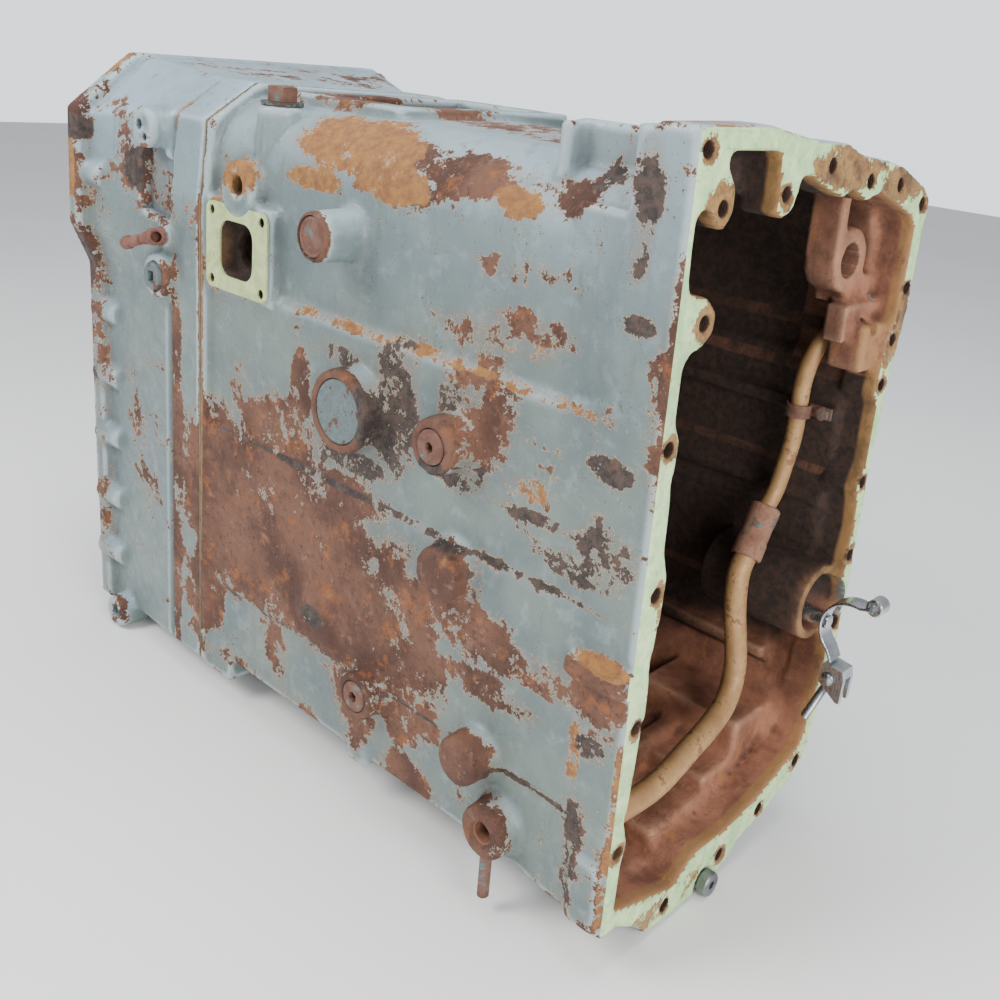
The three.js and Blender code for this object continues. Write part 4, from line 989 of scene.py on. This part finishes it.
def on_sleeve(share):
    return SLEEVE_LOW.lerp(SLEEVE_HIGH, share)


def pipe_runs(material):
    low = [(-43, 26, 58), (-42, 60, 58), (-40, 110, 59), (-43, 160, 68), (-47, 198, 74), (-51, 226, 82),
           (-55, 242, 96), (-58, 248, 116), (-62, 248, 140), (-66, 247, 165), on_sleeve(-0.3),
           on_sleeve(0.1), on_sleeve(0.45)]
    high = [on_sleeve(0.55), on_sleeve(0.9), (-71, 297, 270), (-68, 301, 296), (-64, 301, 324),
            (-63, 300, 350), (-62, 299, 376), (-58, 299, 398), (-54, 308, 417), (-52, 333, 424)]
    for side, route, radius in (("lower", low, 10.4), ("upper", high, 7.9)):
        piece(side + "_oil_pipe", [tube(smooth_route(route), radius)], material,
              name=side + "_pipe_detail")


def pipe_sleeve(material):
    """The hose sleeve that joins the two pipes."""
    length = (SLEEVE_HIGH - SLEEVE_LOW).length
    rings = [(11.6, 0), (13.4, 0), (14.4, 1.4), (14.4, length * 0.3), (13.6, length * 0.36),
             (13.6, length * 0.62), (14.3, length * 0.7), (14.3, length - 1.4), (13, length),
             (9.1, length), (9.1, length * 0.45), (11.6, length * 0.45), (11.6, 0)]
    piece("pipe_sleeve", [turned(rings, SLEEVE_LOW, SLEEVE_HIGH - SLEEVE_LOW)], material)


def pipe_clip(material):
    strap = turned([(9.7, -6), (11.4, -6), (11.4, 6), (9.7, 6), (9.7, -6)], (-63, 300, 350), UP)
    foot = slab(-62, -35.4, 308.9, 311.6, 344.7, 355.3)
    piece("pipe_clip", [strap, foot], material)
    head = hex_head((-43, 308.4, 350), LEFT, 11.2, 4.2)
    shank = screw((-43, 308, 350), RIGHT, 3, 10.6, 1, 20, 4)
    piece("pipe_clip_bolt", [head, shank], material)


def oil_pipes(pipe, sleeve, rusty):
    pipe_runs(pipe)
    pipe_sleeve(sleeve)
    piece("pipe_nut", [hex_head(NUT, RIGHT, 32, 10.8)], pipe,
          [rod(11.5, -3, 30, NUT, RIGHT, 40)])
    pipe_clip(rusty)


# ---------- the hinged clamp ----------
CLAMP_Y = 285
RING = Vector((33, CLAMP_Y, 172))
PIVOT = Vector((21, CLAMP_Y, 124))
BOLT_TIP = Vector((1, CLAMP_Y, 71))


def strip(route, half, thick, rise):
    """A pressed steel strip along points in x and z, with slightly raised edges."""
    points = []
    columns = [(-half, rise), (-half + 1.6, rise * 0.4), (0, 0), (half - 1.6, rise * 0.4), (half, rise)]
    for i, (x, z) in enumerate(route):
        x0, z0 = route[max(i - 1, 0)]
        x1, z1 = route[min(i + 1, len(route) - 1)]
        along = Vector((x1 - x0, 0, z1 - z0)).normalized()
        out = Vector((-along.z, 0, along.x))
        centre = Vector((x, CLAMP_Y, z))
        points += [centre + Vector((0, c, 0)) + out * (thick / 2 + r) for c, r in columns]
        points += [centre + Vector((0, c, 0)) + out * (r - thick / 2) for c, r in reversed(columns)]
    return points, ring_faces(len(route), len(columns) * 2)


def arc_points(radius, start, end, count):
    angles = np.radians(np.linspace(start, end, count))
    return [(RING.x + radius * math.cos(a), RING.z + radius * math.sin(a)) for a in angles]


def clamp_band(steel):
    """The curved strap, with a rolled eye at its free end."""
    route = [(20.3, 139.8)] + arc_points(28.4, 230, 80, 34) + [(44, 201.6), (49, 202.2)]
    eye_base = (50, CLAMP_Y - 7.9, 205)
    eye = turned([(0, 0), (7.2, 0), (7.9, 0.7), (7.9, 15.1), (7.2, 15.8), (0, 15.8)], eye_base, RIGHT, 40)
    holes = [turned([(0, -2), (4.3, -2), (3.8, 0.6), (3.8, 15.2), (4.3, 18), (0, 18)], eye_base, RIGHT, 32),
             rod(4.9, 0, 16, (-3, CLAMP_Y, RING.z), BACKWARD, 32)]
    piece("clamp_band", [strip(route, 9.7, 2.6, 0.25), eye], steel, holes, fuse=0.6)


def clamp_bracket(steel):
    """The forked bracket under the band and the riveted pin through it."""
    profile = [(15, 138), (33.5, 135.8), (35.6, 128), (34.7, 104.4), (31.4, 104.4), (12.4, 118.2),
               (12.4, 131.8)]
    block = prism(profile, CLAMP_Y - 9.8, CLAMP_Y + 9.8)
    room = prism([(0, 131.2), (31, 131.2), (32, 127), (31, 88), (0, 88)], CLAMP_Y - 7.3, CLAMP_Y + 7.3)
    slot = prism([(24, 88), (52, 88), (52, 128), (24, 128)], CLAMP_Y - 5, CLAMP_Y + 5)
    pin_hole = rod(3.9, 0, 30, PIVOT - Vector((0, 15, 0)), RIGHT, 28)
    piece("clamp_bracket", [block], steel, [room, slot, pin_hole])
    rings = [(0, 2.4), (2.6, 2.3), (4.4, 1.4), (4.9, 0.3), (4.9, 0), (3, 0), (3, -20.6), (5.9, -20.6),
             (5.9, -21.6), (5, -23.2), (2.8, -24), (0, -24.2)]
    piece("clamp_pin", [turned(rings, PIVOT + Vector((0, 10.2, 0)), RIGHT, 36)], steel)


def joined(name, solids):
    """One object: the first solid with each of the others fused to it."""
    thing = link(name, mesh_from(solids[:1], name))
    for solid in solids[1:]:
        boolean(thing, [solid], "UNION")
    return thing


def clamp_bolt(steel):
    """The eye bolt that swings on the pin: the one moving piece."""
    away = (BOLT_TIP - PIVOT).normalized()
    eye_base = PIVOT - Vector((0, 4.5, 0))
    thing = joined("clamp_bolt_detail", [
        turned([(0, 0), (6.4, 0), (7, 0.6), (7, 8.4), (6.4, 9), (0, 9)], eye_base, RIGHT, 40),
        rod(3.6, 0, 16, PIVOT, away, 32),
        screw(PIVOT + away * 15, away, 4, (BOLT_TIP - PIVOT).length - 15.6, 1.25, 32, 6),
    ])
    boolean(thing, [rod(3.8, -4, 14, eye_base, RIGHT, 28)])
    dress(thing, steel, ["clamp_swing_bolt"], body="swing_bolt")


def clamp_post(steel):
    """The post in the case that the band is screwed to."""
    y, z = CLAMP_Y, RING.z
    thing = joined("clamp_post_detail", [
        turned([(0, 0), (24.6, 0), (25.6, 1), (25.6, 17.9), (0, 17.9)], (-52, *POST), FORWARD, 64),
        turned([(0, 0), (7, 0), (7, 55.5), (6.4, 55.6), (0, 55.6)], (-53, y, z), BACKWARD, 40),
        turned([(0, 0), (4, 0), (4, 57.6), (3.4, 58), (0, 58)], (-50, y, z), BACKWARD, 32),
        turned([(0, 0), (6.4, 0), (6.4, 1.4), (4.4, 2.3), (0, 2.4)], (7.4, y, z), BACKWARD, 36),
    ])
    dress(thing, steel, ["clamp_post"])


# ---------- the side port ----------
def rounded(half_x, half_z, corner, steps=7):
    """A rectangle with rounded corners round the side port, in x and z."""
    points = []
    for turn, (sx, sz) in enumerate(((1, 1), (-1, 1), (-1, -1), (1, -1))):
        for i in range(steps + 1):
            a = math.pi / 2 * (turn + i / steps)
            x = PORT_X + sx * (half_x - corner) + corner * math.cos(a)
            z = PORT_Z + sz * (half_z - corner) + corner * math.sin(a)
            points.append((x, z))
    return points


def port_gasket(material):
    """The sheet gasket left on the side port, notched round the lobe above it."""
    thing = link("port_gasket_detail", mesh_from([prism(rounded(48, 40, 9), -2.3, -0.3)]))
    boolean(thing, [prism(rounded(26, 26, 14), -5, 5)])
    boolean(thing, [rod(4.5, -5, 5, (x, 0, z), RIGHT, 28) for x, z in PORT_SCREWS])
    boolean(thing, [rod(25.9, -5, 5, (PORT_X, 0, 492), RIGHT, 64)])
    edge = thing.modifiers.new("edge", "BEVEL")
    edge.width = 0.3 * MM
    edge.limit_method = "ANGLE"
    settle(thing)
    dress(thing, material, ["port_gasket"], angle=30)


def kept_nodes(materials):
    """CAD parts whose shape is already right only get a better material."""
    for node, material in materials.items():
        mesh = NODES[node].data
        mesh.materials.clear()
        mesh.materials.append(material)


# ---------- stage ----------
def add_floor():
    bm = bmesh.new()
    bmesh.ops.create_grid(bm, x_segments=12, y_segments=12, size=6000 * MM)
    mesh = bpy.data.meshes.new("floor")
    bm.to_mesh(mesh)
    bm.free()
    floor = link("floor", mesh)
    floor.location.z = min(corner[2] for corner in CAD_BOX) - 0.5 * MM
    mesh.materials.append(floor_material())


def add_light(name, place, target, size, watts, colour):
    data = bpy.data.lights.new(name, "AREA")
    data.shape = "DISK"
    data.size = size
    data.energy = watts
    data.color = colour
    lamp = bpy.data.objects.new(name, data)
    bpy.context.collection.objects.link(lamp)
    lamp.location = at(*place)
    lamp.rotation_euler = (at(*target) - lamp.location).to_track_quat("-Z", "Y").to_euler()


def add_lights():
    world = bpy.data.worlds.new("studio")
    world.use_nodes = True
    backdrop = world.node_tree.nodes["Background"]
    backdrop.inputs["Color"].default_value = (0.93, 0.96, 1, 1)
    tree = world.node_tree
    path = tree.nodes.new("ShaderNodeLightPath")
    strength = tree.nodes.new("ShaderNodeMapRange")
    tree.links.new(path.outputs["Is Camera Ray"], strength.inputs["Value"])
    strength.inputs["To Min"].default_value = 0.6
    strength.inputs["To Max"].default_value = 1.7
    tree.links.new(strength.outputs[0], backdrop.inputs["Strength"])
    bpy.context.scene.world = world
    centre = (-350, 150, 300)
    add_light("key", (-1100, -1500, 1900), centre, 1.1, 47, (1, 0.98, 0.95))
    add_light("top", (-300, 300, 2300), centre, 1.5, 31, (0.94, 0.97, 1))
    add_light("rear_fill", (1500, -500, 900), centre, 1, 32, (1, 0.97, 0.93))


def main():
    add_camera()
    add_lights()
    add_floor()
    case_iron = iron_material("case_iron", "5d6c6e", "97aab4", 0)
    housing_iron = iron_material("housing_iron", "5f6d6e", "98b0bf", 5)
    rusty = rusty_material("rusty_metal")
    painted = rusty_material("painted_metal", kept=0.62, seed=26)
    fastener = rusty_material("dark_fastener", "4a3d38", "5d4c44", "3a3a3a", 0.5, seed=32)
    bright = steel_material("clamp_steel", "c4c8cc", "9fa5aa", 0.16, stained=0.2)
    threaded = steel_material("bolt_steel", "b2b6ba", "8d9398", 0.24, seed=44)
    grey = steel_material("union_steel", "8f9496", "6b6f70", 0.4, seed=46)
    copper = rusty_material("copper_fitting", "6c463e", "8a6054", "55403a", 0.2, seed=36)
    sleeve = rusty_material("sleeve_metal", "8a5f4e", "a17a63", "75584b", 0.35, seed=38)
    pipe = pipe_material("pipe_finish")
    main_casting(case_iron)
    housing_casting(housing_iron)
    joint_fasteners(fastener)
    plugs(rusty, painted)
    hose_elbow(copper)
    bottom_fittings(rusty, grey)
    oil_pipes(pipe, sleeve, rusty)
    clamp_band(bright)
    clamp_bracket(bright)
    clamp_bolt(threaded)
    clamp_post(bright)
    gasket = gasket_material("gasket_board")
    port_gasket(gasket)
    kept_nodes({"joint_gasket": gasket_material("joint_board", "8f8d78", "6f6a58"),
                "joint_dowel_1": grey, "joint_dowel_2": grey, "top_plug_washer": fastener})


main()
